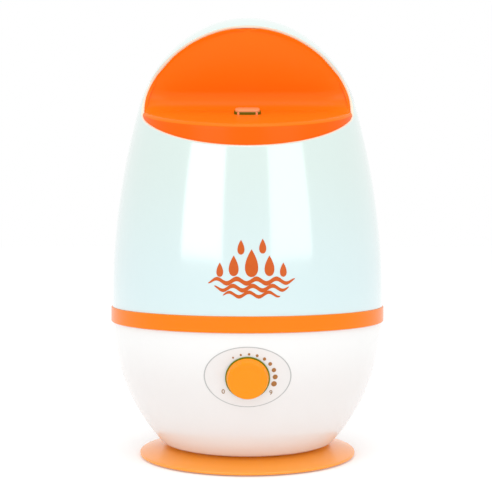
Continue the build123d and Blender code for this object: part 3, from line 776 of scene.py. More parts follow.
# ---------------------------------------------------------------------------
# Sub-assemblies
# ---------------------------------------------------------------------------
@dataclass
class WaterTank:
    """The egg-shaped tank, open at the front over the hood."""

    form: TurnedForm
    mouth: Scoop
    wall: float = 2.8 * MM
    lip: float = 0.8 * MM
    around: int = 256
    down: int = 84
    heart_z: float = 0.215
    highlight_lip: Point2 = (2.6 * MM, 0.44 * MM)

    def build_highlight_lip(self) -> bpy.types.Object:
        """Build the pale edge under the tank's wall, just clear of the band; its cream colour is a painted
        highlight line.

        Returns:
            The piece, riding on its body.
        """
        reach, drop = self.highlight_lip
        radius, bottom = self.form.radius(self.form.wall_to, 0.0), self.form.wall_to - drop
        outer, top = radius - 0.1 * MM, bottom + drop + 0.05 * MM
        outline = rounded([
            (radius - reach, bottom, 0), (outer, bottom, 0.15 * MM),
            (outer, top, 0), (radius - reach, top, 0),
        ])
        points, faces = lathe(outline, self.around)
        piece = make_piece("tank_highlight_lip", points, faces, [MINT_EDGE_HIGHLIGHT.build()])
        return settle(piece, Body.TANK, "tank_plastic")

    def build(self) -> bpy.types.Object:
        """Build the shell with its rounded mouth rim.

        Returns:
            The piece, riding on its body.
        """
        outer_edge = outline_on(self.form, self.mouth, 0.0, self.around)
        inner_edge = outline_on(self.form, self.mouth, self.wall, self.around)
        outer = self._skin(outer_edge, 0.0, self.lip)
        inner = self._skin(inner_edge, self.wall, self.lip)
        rim = self._rim(outer_edge, inner_edge, outer[0], inner[0])
        rows = [row for row in reversed(outer)] + rim + inner
        points = [p for row in rows for p in row]
        faces = grid_faces(len(rows), self.around, wrap=True)
        last = (len(rows) - 1) * self.around
        for k in range(self.around):
            after = (k + 1) % self.around
            faces.append((last + k, last + after, after, k))
        # Rows across the rim take the cream finish: painted highlight along the mouth's edge.
        highlight_rows = range(len(outer) + 3, len(outer) + len(rim))
        finish_of = [1 if i // self.around in highlight_rows else 0 for i in range(len(faces))]
        piece = make_piece("tank_egg", points, faces, [MINT.build(), MINT_EDGE_HIGHLIGHT.build()], finish_of)
        return settle(piece, Body.TANK, "tank_plastic", "tank_shell")

    def _skin(self, edge: list[Vector], inset: float, back_off: float) -> list[list[Vector]]:
        """Rows of points on one skin, from just off the mouth's edge down to the tank's bottom.

        Args:
            edge: The mouth's edge on this skin.
            inset: How far the skin lies inside the form.
            back_off: How far below the edge the first row lies.

        Returns:
            The rows, from the mouth down.
        """
        heart = Vector((0.0, 0.0, self.heart_z))
        bottom = self.form.wall_to
        radius = self.form.radius(bottom, inset)
        rows: list[list[Vector]] = [[] for _ in range(self.down + 1)]
        for k, start in enumerate(edge):
            azimuth = 2 * math.pi * k / self.around
            end = Vector((radius * math.sin(azimuth), -radius * math.cos(azimuth), bottom))
            first, last = (start - heart).normalized(), (end - heart).normalized()
            spread = first.angle(last)
            skip = back_off / (spread * (start - heart).length)
            for j in range(self.down + 1):
                share = skip + (1 - skip) * j / self.down
                towards_first = first * math.sin((1 - share) * spread)
                way = (towards_first + last * math.sin(share * spread)) / math.sin(spread)
                on_skin = end if j == self.down else self.form.meet(heart, way.normalized(), inset)
                rows[j].append(on_skin)
        return rows

    def _rim(
        self,
        outer_edge: list[Vector],
        inner_edge: list[Vector],
        outer_row: list[Vector],
        inner_row: list[Vector],
    ) -> list[list[Vector]]:
        """Rows across the mouth's rim, rounded over at both of its edges.

        Args:
            outer_edge: The mouth's edge on the outer skin.
            inner_edge: The mouth's edge on the inner skin.
            outer_row: The first row of the outer skin.
            inner_row: The first row of the inner skin.

        Returns:
            The rows, from the outer skin to the inner.
        """
        rows: list[list[Vector]] = []
        shares = (0.2, 0.4, 0.6, 0.8)
        outer_flat = [o.lerp(i, self.lip / (o - i).length) for o, i in zip(outer_edge, inner_edge)]
        inner_flat = [i.lerp(o, self.lip / (o - i).length) for o, i in zip(outer_edge, inner_edge)]
        for share in shares:
            rows.append([bend(a, b, c, share) for a, b, c in zip(outer_row, outer_edge, outer_flat)])
        rows.append(outer_flat)
        rows.append([a.lerp(b, 0.5) for a, b in zip(outer_flat, inner_flat)])
        rows.append(inner_flat)
        for share in shares:
            rows.append([bend(a, b, c, share) for a, b, c in zip(inner_flat, inner_edge, inner_row)])
        return rows


def bend(start: Vector, corner: Vector, end: Vector, share: float) -> Vector:
    """A point on the rounded way from start to end past a corner."""
    return start.lerp(corner, share).lerp(corner.lerp(end, share), share)


@dataclass
class MistHood:
    """The orange hood in the tank's mouth: fascia, sloping floor and leaning back."""

    form: TurnedForm
    mouth: Scoop
    scoop: Scoop
    inset: float = 2.9 * MM
    fascia_r: float = 87.2 * MM
    fascia_y: float = -9.7 * MM
    crease_end_y: float = -36.0 * MM
    crease_r: float = 2.4 * MM
    tuck: float = 1.6 * MM
    bead: float = 0.3 * MM
    bead_reach: float = 0.7 * MM
    bead_grows_over: float = 0.25
    dish_power: float = 2.3
    dish_from: float = 0.6
    columns: int = 96
    # How many rows up the fascia take the painted shade.
    shaded_fascia_rows: int = 11
    thickness: float = 2.0 * MM

    def build(self) -> bpy.types.Object:
        """Build the hood's sheet and give it thickness.

        Returns:
            The piece, riding on its body.
        """
        shares = [math.sin(math.pi / 2 * (2 * k / self.columns - 1)) for k in range(self.columns + 1)]
        rows = self._front_rows(shares) + self._back_rows(shares)
        points = [p for row in rows for p in row]
        faces = grid_faces(len(rows), len(rows[0]), wrap=False)
        # Faces of the first fascia rows take the darker orange: painted shade.
        fascia = (self.shaded_fascia_rows - 1) * (len(rows[0]) - 1)
        finish_of = [1 if i < fascia else 0 for i in range(len(faces))]
        finishes = [ORANGE.build(), ORANGE_FASCIA_SHADED.build()]
        piece = make_piece("hood_scoop", points, faces, finishes, finish_of)
        thicken(piece, self.thickness)
        return settle(piece, Body.TANK, "orange_plastic", "mist_hood")

    def _crease_y(self, share: float) -> float:
        """Where the front edge of the floor lies at a share of its half width.

        Args:
            share: -1 at the left end, 1 at the right.

        Returns:
            Y of the edge.
        """
        reach = self.fascia_y - self.crease_end_y
        half = math.sqrt(self.fascia_r**2 - reach**2)
        return self.fascia_y - math.sqrt(self.fascia_r**2 - (half * share) ** 2)

    def _front_rows(self, shares: list[float]) -> list[list[Vector]]:
        """Rows up the fascia, over its rounded crease and back to where the crease ends.

        Args:
            shares: The columns, as shares of the half width.

        Returns:
            The rows, from the fascia's foot up.
        """
        last_y, last_z = self.scoop.at(self.scoop.run_at(self.crease_end_y))
        half = half_width(self.form, self.inset, last_y, last_z)
        columns = []
        for share in shares:
            y = self._crease_y(share)
            high = self._height(self.scoop, y)
            rise = max(high - self._rim_height(y), 0.0)
            low = high - rise - self.tuck * min(rise / self.tuck, 1.0)
            radius = min(self.crease_r, 0.4 * rise)
            floor_end = y + radius
            turned_z = self._height(self.scoop, floor_end)
            column = [(y, low + (high - radius - low) * j / 8) for j in range(9)]
            bent = ((y, high - radius), (y, high), (floor_end, turned_z))
            start, corner, end = (Vector((0, *p)) for p in bent)
            column += [tuple(bend(start, corner, end, j / 7).yz) for j in range(1, 8)]
            for j in range(1, 12):
                at = floor_end + (self.crease_end_y - floor_end) * j / 12
                column.append((at, self._height(self.scoop, at)))
            columns.append([Vector((share * half, py, pz)) for py, pz in column])
        rows = [list(row) for row in zip(*columns)]
        return [[row[0]] * 6 + row + [row[-1]] * 6 for row in rows]

    def _back_rows(self, shares: list[float]) -> list[list[Vector]]:
        """Rows from the crease's end along the floor, up the back and to the top, with a side lining.

        Args:
            shares: The columns, as shares of the half width.

        Returns:
            The rows, from the front to the top.
        """
        first, last = self.scoop.run_at(self.crease_end_y), self.scoop.ends(self.form, self.inset)[1]
        rim_first = self.mouth.run_at(self.crease_end_y)
        rim_last = self.mouth.ends(self.form, self.inset)[1]
        rows = []
        count = 72
        for j in range(count + 1):
            share_up = 1 - (1 - j / count) ** 1.6 if j > count / 2 else j / count
            y, z = self.scoop.at(first + (last - first) * share_up)
            rim_y, rim_z = self.mouth.at(rim_first + (rim_last - rim_first) * share_up)
            half = half_width(self.form, self.inset, y, z)
            row = [self._dished(share, half, (y, z), (rim_y, rim_z)) for share in shares]
            edge_y, edge_z = row[-1].y, row[-1].z
            lining = []
            for k in range(1, 5):
                at_y = edge_y + (rim_y - edge_y) * k / 4
                at_z = edge_z + (rim_z - edge_z) * k / 4
                lining.append(Vector((half_width(self.form, self.inset, at_y, at_z), at_y, at_z)))
            ahead = self.mouth.at(rim_first + (rim_last - rim_first) * share_up + MM)
            lining += self._bead((rim_y, rim_z), ahead, min(share_up / self.bead_grows_over, 1.0))
            left = [Vector((-p.x, p.y, p.z)) for p in reversed(lining)]
            rows.append(left + row + lining)
        return rows

    def _dished(self, share: float, half: float, low: Point2, rim: Point2) -> Vector:
        """A point of a row, swept up softly towards the rim near both of its ends.

        Args:
            share: -1 at the left end of the row, 1 at the right.
            half: Half the row's width.
            low: The row's middle, as Y and Z.
            rim: The tank's rim beside the row, as Y and Z.

        Returns:
            The point.
        """
        reach = max(abs(share) - self.dish_from, 0.0) / (1 - self.dish_from)
        lift = reach**self.dish_power
        y, z = low[0] + (rim[0] - low[0]) * lift, low[1] + (rim[1] - low[1]) * lift
        limit = half_width(self.form, self.inset, y, z)
        return Vector((math.copysign(min(abs(share) * half, limit), share), y, z))

    def _bead(self, rim: Point2, other: Point2, share: float) -> list[Vector]:
        """A thin bead that closes the gap between the hood's edge and the tank's rim.

        Args:
            rim: The hood's edge in the YZ plane.
            other: A point a little farther along the mouth's profile.
            share: How much of its full size the bead has.

        Returns:
            Points from the edge outwards.
        """
        along = Vector((other[0] - rim[0], other[1] - rim[1])).normalized()
        y, z = rim[0] - along.y * self.bead * share, rim[1] + along.x * self.bead * share
        insets = (self.inset, self.inset - self.bead_reach * share)
        return [Vector((half_width(self.form, inset, y, z), y, z)) for inset in insets]

    def _rim_height(self, y: float) -> float:
        """The height of the mouth's profile at y, its corner included.

        Args:
            y: Where the profile is measured.

        Returns:
            Z of the profile.
        """
        sweep = (y - self.mouth.centre[0]) / self.mouth.corner_r
        if sweep <= math.sin(self.mouth.slope):
            return self._height(self.mouth, y)
        return self.mouth.centre[1] - self.mouth.corner_r * math.sqrt(max(1 - sweep * sweep, 0.0))

    @staticmethod
    def _height(scoop: Scoop, y: float) -> float:
        """The height of a scoop's straight floor at y."""
        return scoop.at(scoop.run_at(y))[1]


def thicken(piece: bpy.types.Object, thickness: float) -> None:
    """Give a sheet thickness behind its visible face.

    Args:
        piece: The sheet.
        thickness: How thick it gets.
    """
    solid = piece.modifiers.new("thickness", "SOLIDIFY")
    solid.thickness = thickness
    solid.offset = -1.0
    apply_modifiers(piece)


def apply_modifiers(piece: bpy.types.Object) -> None:
    """Replace a piece's mesh by what its modifiers make of it.

    Args:
        piece: The piece.
    """
    bpy.context.view_layer.update()
    graph = bpy.context.evaluated_depsgraph_get()
    made = bpy.data.meshes.new_from_object(piece.evaluated_get(graph))
    piece.modifiers.clear()
    piece.data = made
    smooth(made)


@dataclass
class MistNozzle:
    """The small turret on the hood's floor, with a cap over a forward slot; the slot block's dark olive is painted
    shade and the cap's pale peach is painted highlight.
    """

    centre: Vector
    axis: Vector
    radius: float = 11.0 * MM
    height: float = 5.6 * MM
    gap: float = 0.3 * MM
    slot_top: float = 4.0 * MM
    slot_size: Point2 = (21.9 * MM, 17.0 * MM)
    cap_size: Point2 = (19.8 * MM, 14.6 * MM)

    def _matrix(self) -> Matrix:
        """The turret's frame: its own axis up, standing on the hood's floor.

        Returns:
            The frame as a matrix.
        """
        across = Vector((1.0, 0.0, 0.0))
        matrix = Matrix((across, self.axis.cross(across), self.axis)).transposed().to_4x4()
        matrix.translation = self.centre
        return matrix

    def build(self) -> list[bpy.types.Object]:
        """Build the turret's collar, slot body, cap and pegs.

        Returns:
            The four pieces.
        """
        slot_shade, cap_highlight = NOZZLE_SLOT_SHADE.build(), NOZZLE_CAP_HIGHLIGHT.build()
        collar = rounded([
            (0.0, self.gap, 0), (self.radius, self.gap, 0.2 * MM),
            (self.radius, self.gap + 0.5 * MM, 0.2 * MM), (0.0, self.gap + 0.5 * MM, 0),
        ])
        points, faces = lathe(collar, 96)
        base = make_piece("nozzle_collar", placed(points, self._matrix()), faces, [ORANGE.build()])
        settle(base, Body.NOZZLE, "orange_plastic", "mist_nozzle")
        slot_span = (self.gap + 0.4 * MM, self.slot_top)
        cap_span = (self.slot_top - 0.1 * MM, self.height + self.gap)
        # The slot block is solid; its dark olive colour is painted shade for the hollow of the slot.
        slot = self._block("nozzle_slot_shade", self.slot_size, slot_span, 0.5 * MM, slot_shade)
        # The cap's pale peach is painted highlight.
        cap = self._block("nozzle_cap", self.cap_size, cap_span, 0.9 * MM, cap_highlight)
        return [base, slot, cap, self._pegs(cap_highlight)]

    def _block(
        self,
        name: str,
        size: Point2,
        span: Point2,
        edge: float,
        finish: bpy.types.Material,
    ) -> bpy.types.Object:
        """A block with a rounded plan and a softened top edge.

        Args:
            name: The piece's name.
            size: Its width and depth.
            span: Its lowest and highest height.
            edge: How far its top edge is rounded.
            finish: Its material.

        Returns:
            The piece, riding on the nozzle.
        """
        low, high = span
        levels = [(low, 0.0), (high - edge, 0.0)]
        turns = [math.radians(15 * k) for k in range(1, 7)]
        levels += [(high - edge + edge * math.sin(a), edge * (1 - math.cos(a))) for a in turns]
        rows = []
        for height, inset in levels:
            width, depth = size[0] / 2 - inset, size[1] / 2 - inset
            corner = min(width, depth) * 0.62
            corners = [(sx * width, sy * depth, corner) for sx, sy in QUARTERS]
            rows.append([Vector((x, y, height)) for x, y in rounded(corners, 10)])
        count = len(rows[0])
        points = [p for row in rows for p in row]
        faces = grid_faces(len(rows), count, wrap=True)
        faces += [tuple(reversed(range(count))), tuple(range(len(points) - count, len(points)))]
        piece = make_piece(name, placed(points, self._matrix()), faces, [finish])
        return settle(piece, Body.NOZZLE, "orange_plastic")

    def _pegs(self, finish: bpy.types.Material) -> bpy.types.Object:
        """The two small posts that hold the cap over the slot; their pale peach is painted highlight.

        Args:
            finish: Their material.

        Returns:
            The piece, riding on its body.
        """
        points: list[Vector] = []
        faces: list[tuple[int, ...]] = []
        outline = rounded([
            (0.0, self.gap + 0.3 * MM, 0), (0.9 * MM, self.gap + 0.3 * MM, 0.1 * MM),
            (0.9 * MM, self.slot_top, 0.1 * MM), (0.0, self.slot_top, 0),
        ])
        for side in (-1, 1):
            post, walls = lathe(outline, 24)
            shift = Vector((side * 7.4 * MM, -self.slot_size[1] / 2 + 0.1 * MM, 0.0))
            faces += [tuple(len(points) + n for n in face) for face in walls]
            points += [p + shift for p in post]
        piece = make_piece("nozzle_pegs", placed(points, self._matrix()), faces, [finish])
        return settle(piece, Body.NOZZLE, "orange_plastic")


@dataclass
class WaistBand:
    """The orange ring between the tank and the bowl."""

    outer_r: float
    bottom: float
    top: float
    inner_r: float = 110.6 * MM
    edge: float = 0.9 * MM

    def build(self) -> bpy.types.Object:
        """Build the ring with rounded edges.

        Returns:
            The piece, riding on its body.
        """
        step = self.bottom + 4.2 * MM
        outline = rounded([
            (self.inner_r, step, 0), (self.inner_r + 1.4 * MM, step, 0),
            (self.inner_r + 1.4 * MM, self.bottom, 0), (self.outer_r, self.bottom, self.edge),
            (self.outer_r, self.top, self.edge), (self.inner_r, self.top, 0.3 * MM),
        ])
        points, faces = lathe(outline, 256)
        piece = make_piece("band_ring", points, faces, [ORANGE_LIGHT.build()])
        return settle(piece, Body.BASE, "orange_plastic", "waist_band")


@dataclass
class BaseBowl:
    """The white bowl with its rear grille, inlet opening and floor."""

    form: TurnedForm
    band_bottom: float
    wall: float = 2.8 * MM
    opening_r: float = 56.0 * MM
    slots: int = 9
    slot_pitch: float = math.radians(3.8)
    slot_size: Point2 = (2.6 * MM, 26.0 * MM)
    slot_z: float = 61.0 * MM
    inlet_z: float = 35.0 * MM
    inlet_size: Point2 = (26.2 * MM, 17.2 * MM)
    spigot_height: float = 4.0 * MM
    cut_to: float = 130 * MM

    def build(self) -> bpy.types.Object:
        """Build the bowl, then cut its rear openings.

        Returns:
            The piece, riding on its body.
        """
        outer = self.form.outline(0.0, 90)
        inner = self.form.outline(self.wall, 60)
        floor = [(self.opening_r, inner[0][1]), (self.opening_r, outer[0][1])]
        spigot = self.band_bottom + self.spigot_height
        top = outer[-1][0]
        rim = [
            (top - 0.25 * MM, self.band_bottom), (top - 1.3 * MM, self.band_bottom),
            (top - 1.3 * MM, spigot), (inner[-1][0], spigot),
        ]
        outer[-1] = (top, self.band_bottom - 0.3 * MM)
        outline = floor + outer + rim + list(reversed(inner))
        points, faces = lathe(outline, 288)
        piece = make_piece("bowl", points, faces, [WHITE_SHADED_BY_HEIGHT.build()])
        cut(piece, self._slot_cutters() + [self._inlet_cutter()])
        true_normals(piece, self.form, [0.0, self.wall])
        return settle(piece, Body.BASE, "white_plastic", "lower_housing")

    def _slot_cutters(self) -> list[bpy.types.Object]:
        """One long rounded block for each grille slot.

        Returns:
            The blocks.
        """
        cutters = []
        outline = capsule(*self.slot_size)
        for k in range(self.slots):
            turn = Matrix.Rotation((k - (self.slots - 1) / 2) * self.slot_pitch, 4, "Z")
            place = turn @ Matrix.Translation((0, 0, self.slot_z))
            cutters.append(prism(outline, 70 * MM, self.cut_to, place))
        return cutters

    def _inlet_cutter(self) -> bpy.types.Object:
        """The block that opens the wall for the mains inlet.

        Returns:
            The block.
        """
        width, height = self.inlet_size
        corners = [(sx * width / 2, sy * height / 2, 6 * MM) for sx, sy in QUARTERS]
        return prism(rounded(corners), 60 * MM, self.cut_to, Matrix.Translation((0, 0, self.inlet_z)))


def capsule(width: float, length: float, steps: int = 8) -> list[Point2]:
    """The outline of an upright slot with round ends.

    Args:
        width: The slot's width.
        length: Its whole length.
        steps: How many spans each end gets.

    Returns:
        The outline's points.
    """
    radius, straight = width / 2, length / 2 - width / 2
    outline = []
    for k in range(steps + 1):
        angle = math.pi * k / steps
        outline.append((radius * math.cos(angle), straight + radius * math.sin(angle)))
    return outline + [(-x, -z) for x, z in outline]


def prism(outline: Sequence[Point2], near: float, far: float, matrix: Matrix) -> bpy.types.Object:
    """A block with an outline in X and Z, carried along Y between two distances.

    Args:
        outline: The outline, as X and Z.
        near: Where the block starts along Y.
        far: Where it ends.
        matrix: Where the whole block is carried to.

    Returns:
        The block.
    """
    count = len(outline)
    points = [matrix @ Vector((x, y, z)) for y in (near, far) for x, z in outline]
    faces = [(k, (k + 1) % count, count + (k + 1) % count, count + k) for k in range(count)]
    faces += [tuple(range(count)), tuple(reversed(range(count, 2 * count)))]
    return make_piece("cutter", points, faces, [])


def cut(piece: bpy.types.Object, cutters: list[bpy.types.Object]) -> None:
    """Cut blocks out of a piece and drop the blocks.

    Args:
        piece: The piece.
        cutters: The blocks.
    """
    for block in cutters:
        step = piece.modifiers.new("cut", "BOOLEAN")
        step.operation = "DIFFERENCE"
        step.solver = "EXACT"
        step.object = block
    apply_modifiers(piece)
    for block in cutters:
        bpy.data.objects.remove(block)


def true_normals(piece: bpy.types.Object, form: TurnedForm, insets: list[float]) -> None:
    """Shade what is left of a turned skin by the form's own curvature, so that cuts leave no dents.

    Args:
        piece: The cut piece.
        form: The form that its skins follow.
        insets: How far inwards each of its skins lies.
    """
    mesh = piece.data
    step = 0.2 * MM
    normals = [Vector(n.vector) for n in mesh.corner_normals]
    for polygon in mesh.polygons:
        for loop in polygon.loop_indices:
            p = mesh.vertices[mesh.loops[loop].vertex_index].co
            reach = math.hypot(p.x, p.y)
            for inset in insets:
                if abs(reach - form.radius(p.z, inset)) > 0.05 * MM:
                    continue
                lean = (form.radius(p.z - step, inset) - form.radius(p.z + step, inset)) / (2 * step)
                normal = Vector((p.x / reach, p.y / reach, lean)).normalized()
                if normal.dot(polygon.normal) < 0:
                    normal = -normal
                if normal.dot(polygon.normal) > 0.97:
                    normals[loop] = normal
    mesh.normals_split_custom_set(normals)


@dataclass
class FootPlate:
    """The orange saucer under the bowl."""

    outer_r: float
    top: float
    rim_bottom: float
    rim_top: float = 3.2 * MM
    inner_r: float = 64.0 * MM
    wall: float = 2.4 * MM

    def build(self) -> bpy.types.Object:
        """Build the saucer with its soft rim.

        Returns:
            The piece, riding on its body.
        """
        under = self.top - self.wall
        outline = rounded([
            (0.0, under, 0), (self.inner_r - 1 * MM, under, 0.8 * MM),
            (self.outer_r - self.wall, self.rim_bottom, 0.4 * MM),
            (self.outer_r, self.rim_bottom, 0.8 * MM), (self.outer_r, self.rim_top, 0.9 * MM),
            (self.inner_r, self.top, 2 * MM), (0.0, self.top, 0),
        ])
        points, faces = lathe(outline, 256)
        piece = make_piece("foot_saucer", points, faces, [ORANGE_FOOT.build()])
        return settle(piece, Body.BASE, "orange_plastic", "foot_plate")


@dataclass
class MistDial:
    """The oval dial plate with its grey line, growing dots and digits, centred on the knob."""

    form: TurnedForm
    centre: Vector
    axis: Vector
    width: float = 66.7 * MM
    height: float = 49.0 * MM
    dot_count: int = 9
    dot_turns: Point2 = (-31.5, 106.5)
    dot_ring: Point2 = (21.0 * MM, 18.9 * MM)
    dot_size: Point2 = (1.5 * MM, 4.3 * MM)

    def _at(self, u: float, v: float, lift: float) -> Vector:
        """A point of the dial's flat layout, laid on the bowl and raised off it by lift.

        Args:
            u: How far to the right of the knob.
            v: How far above it along the bowl.
            lift: How far off the bowl.

        Returns:
            The point.
        """
        across = Vector((1.0, 0.0, 0.0))
        up = self.axis.cross(across)
        start = self.centre + across * u + up * v - self.axis * 30 * MM
        return self.form.meet(start, self.axis, -lift)

    def build(self) -> list[bpy.types.Object]:
        """Build the plate and everything printed on it.

        Returns:
            The pieces.
        """
        pieces = [self._plate(), self._line(), self._dots()]
        pieces += [self._digit("0", -18.6 * MM, -13.4 * MM), self._digit("9", 17.8 * MM, -14.2 * MM)]
        return pieces

    def _plate(self) -> bpy.types.Object:
        """The oval plate, a thin inlay that stands a hair proud.

        Returns:
            The piece, riding on its body.
        """
        rings = [(share, 0.12) for share in (0.0, 0.25, 0.5, 0.75, 0.95)]
        rings += [(0.992, 0.11), (1.0, 0.06), (1.0, -0.5)]
        rows = [[self._oval(share, k, lift * MM) for k in range(128)] for share, lift in rings]
        points = [p for row in rows for p in row]
        faces = grid_faces(len(rows), 128, wrap=True)
        piece = make_piece("dial_oval", points, faces, [DIAL_WHITE.build()])
        return settle(piece, Body.BASE, "white_plastic", "dial_plate")

    def _oval(self, share: float, k: int, lift: float, count: int = 128) -> Vector:
        """A point of an oval like the plate's at a share of its size.

        Args:
            share: The oval's share of the plate's size.
            k: Which point of the oval.
            lift: How far off the bowl.
            count: How many points go round.

        Returns:
            The point.
        """
        angle = 2 * math.pi * k / count
        u = share * self.width / 2 * math.cos(angle)
        v = share * self.height / 2 * math.sin(angle)
        return self._at(u, v, lift)

    def _line(self) -> bpy.types.Object:
        """The fine grey line round the plate.

        Returns:
            The piece, riding on its body.
        """
        rings = [(0.978, 0.10), (0.978, 0.17), (1.003, 0.17), (1.003, 0.05)]
        count = 192
        rows = [[self._oval(share, k, lift * MM, count) for k in range(count)] for share, lift in rings]
        points = [p for row in rows for p in row]
        faces = grid_faces(len(rows), count, wrap=True)
        last = (len(rows) - 1) * count
        faces += [(last + k, last + (k + 1) % count, (k + 1) % count, k) for k in range(count)]
        piece = make_piece("dial_line", points, faces, [LINE_GREY.build()])
        return settle(piece, Body.BASE, "white_plastic")

    def _dots(self) -> bpy.types.Object:
        """The dots, each a little larger than the one before.

        Returns:
            The piece, riding on its body.
        """
        small, large = self.dot_size
        from_turn, to_turn = self.dot_turns
        points: list[Vector] = []
        faces: list[tuple[int, ...]] = []
        for i in range(self.dot_count):
            share = i / (self.dot_count - 1)
            radius = (small + (large - small) * share**1.4) / 2
            angle = math.radians(from_turn + (to_turn - from_turn) * share)
            u, v = self.dot_ring[0] * math.sin(angle), self.dot_ring[1] * math.cos(angle)
            base = len(points)
            rings = [(0.0, 0.24), (0.6, 0.24), (0.93, 0.22), (1.0, 0.17), (1.0, 0.05)]
            for reach, lift in rings:
                for k in range(32):
                    turn = 2 * math.pi * k / 32
                    r = radius * reach
                    points.append(self._at(u + r * math.cos(turn), v + r * math.sin(turn), lift * MM))
            faces += [tuple(base + n for n in face) for face in grid_faces(len(rings), 32, wrap=True)]
        piece = make_piece("dial_dots", points, faces, [DOT_INK.build()])
        return settle(piece, Body.BASE, "knob_plastic")

    def _digit(self, text: str, u: float, v: float) -> bpy.types.Object:
        """A small printed digit laid on the plate.

        Args:
            text: The digit.
            u: How far its middle is to the right of the knob's.
            v: How far its foot is above the knob's middle.

        Returns:
            The piece, riding on its body.
        """
        curve = bpy.data.curves.new("digit", "FONT")
        curve.body = text
        curve.size = 5.2 * MM
        curve.offset = 0.12 * MM
        curve.align_x = "CENTER"
        curve.resolution_u = 6
        curve.extrude = 0.1 * MM
        holder = bpy.data.objects.new("digit", curve)
        bpy.context.scene.collection.objects.link(holder)
        bpy.context.view_layer.update()
        graph = bpy.context.evaluated_depsgraph_get()
        flat = bpy.data.meshes.new_from_object(holder.evaluated_get(graph))
        bpy.data.objects.remove(holder)
        points = [self._at(u + p.co.x, v + p.co.y, 0.14 * MM + p.co.z * 0.6) for p in flat.vertices]
        faces = [tuple(face.vertices) for face in flat.polygons]
        bpy.data.meshes.remove(flat)
        name = "dial_digit_low" if u < 0 else "dial_digit_high"
        piece = make_piece(name, points, faces, [MARK_INK.build()])
        return settle(piece, Body.BASE, "knob_plastic")


@dataclass
class MistKnob:
    """The round mist knob."""

    centre: Vector
    axis: Vector
    radius: float = 16.3 * MM
    top_radius: float = 15.3 * MM
    height: float = 6.0 * MM

    def build(self) -> bpy.types.Object:
        """Build the knob with a soft edge and a shallow dish, and the dark ring it turns in, whose olive colour is
        painted shade for the gap round the knob.

        Returns:
            The ring, riding on the base.
        """
        across = Vector((1.0, 0.0, 0.0))
        matrix = Matrix((across, self.axis.cross(across), self.axis)).transposed().to_4x4()
        matrix.translation = self.centre
        outline = rounded([
            (0.0, self.height - 0.35 * MM, 0), (10.6 * MM, self.height - 0.35 * MM, 5 * MM),
            (12.6 * MM, self.height, 2.0 * MM), (self.top_radius - 0.3 * MM, self.height, 2.2 * MM),
            (self.radius, 0.5 * MM, 0.3 * MM), (self.radius - 2 * MM, 0.5 * MM, 0.2 * MM),
            (self.radius - 3.4 * MM, self.height - 2 * MM, 0.5 * MM), (0.0, self.height - 2 * MM, 0),
        ])
        points, faces = lathe(outline, 160)
        piece = make_piece("knob_body", placed(points, matrix), faces, [KNOB_ORANGE.build()])
        settle(piece, Body.KNOB, "knob_plastic", "knob")
        # A thin dark ring round the knob's foot: painted shade for the shadow in the gap.
        ring = rounded([
            (self.radius - 1.5 * MM, -0.6 * MM, 0), (self.radius + 0.75 * MM, -0.6 * MM, 0),
            (self.radius + 0.75 * MM, 0.42 * MM, 0.15 * MM), (self.radius - 1.5 * MM, 0.42 * MM, 0),
        ])
        points, faces = lathe(ring, 160)
        shadow_ring = make_piece("knob_shadow_ring", placed(points, matrix), faces, [KNOB_SHADOW_RING.build()])
        return settle(shadow_ring, Body.BASE, "knob_plastic")


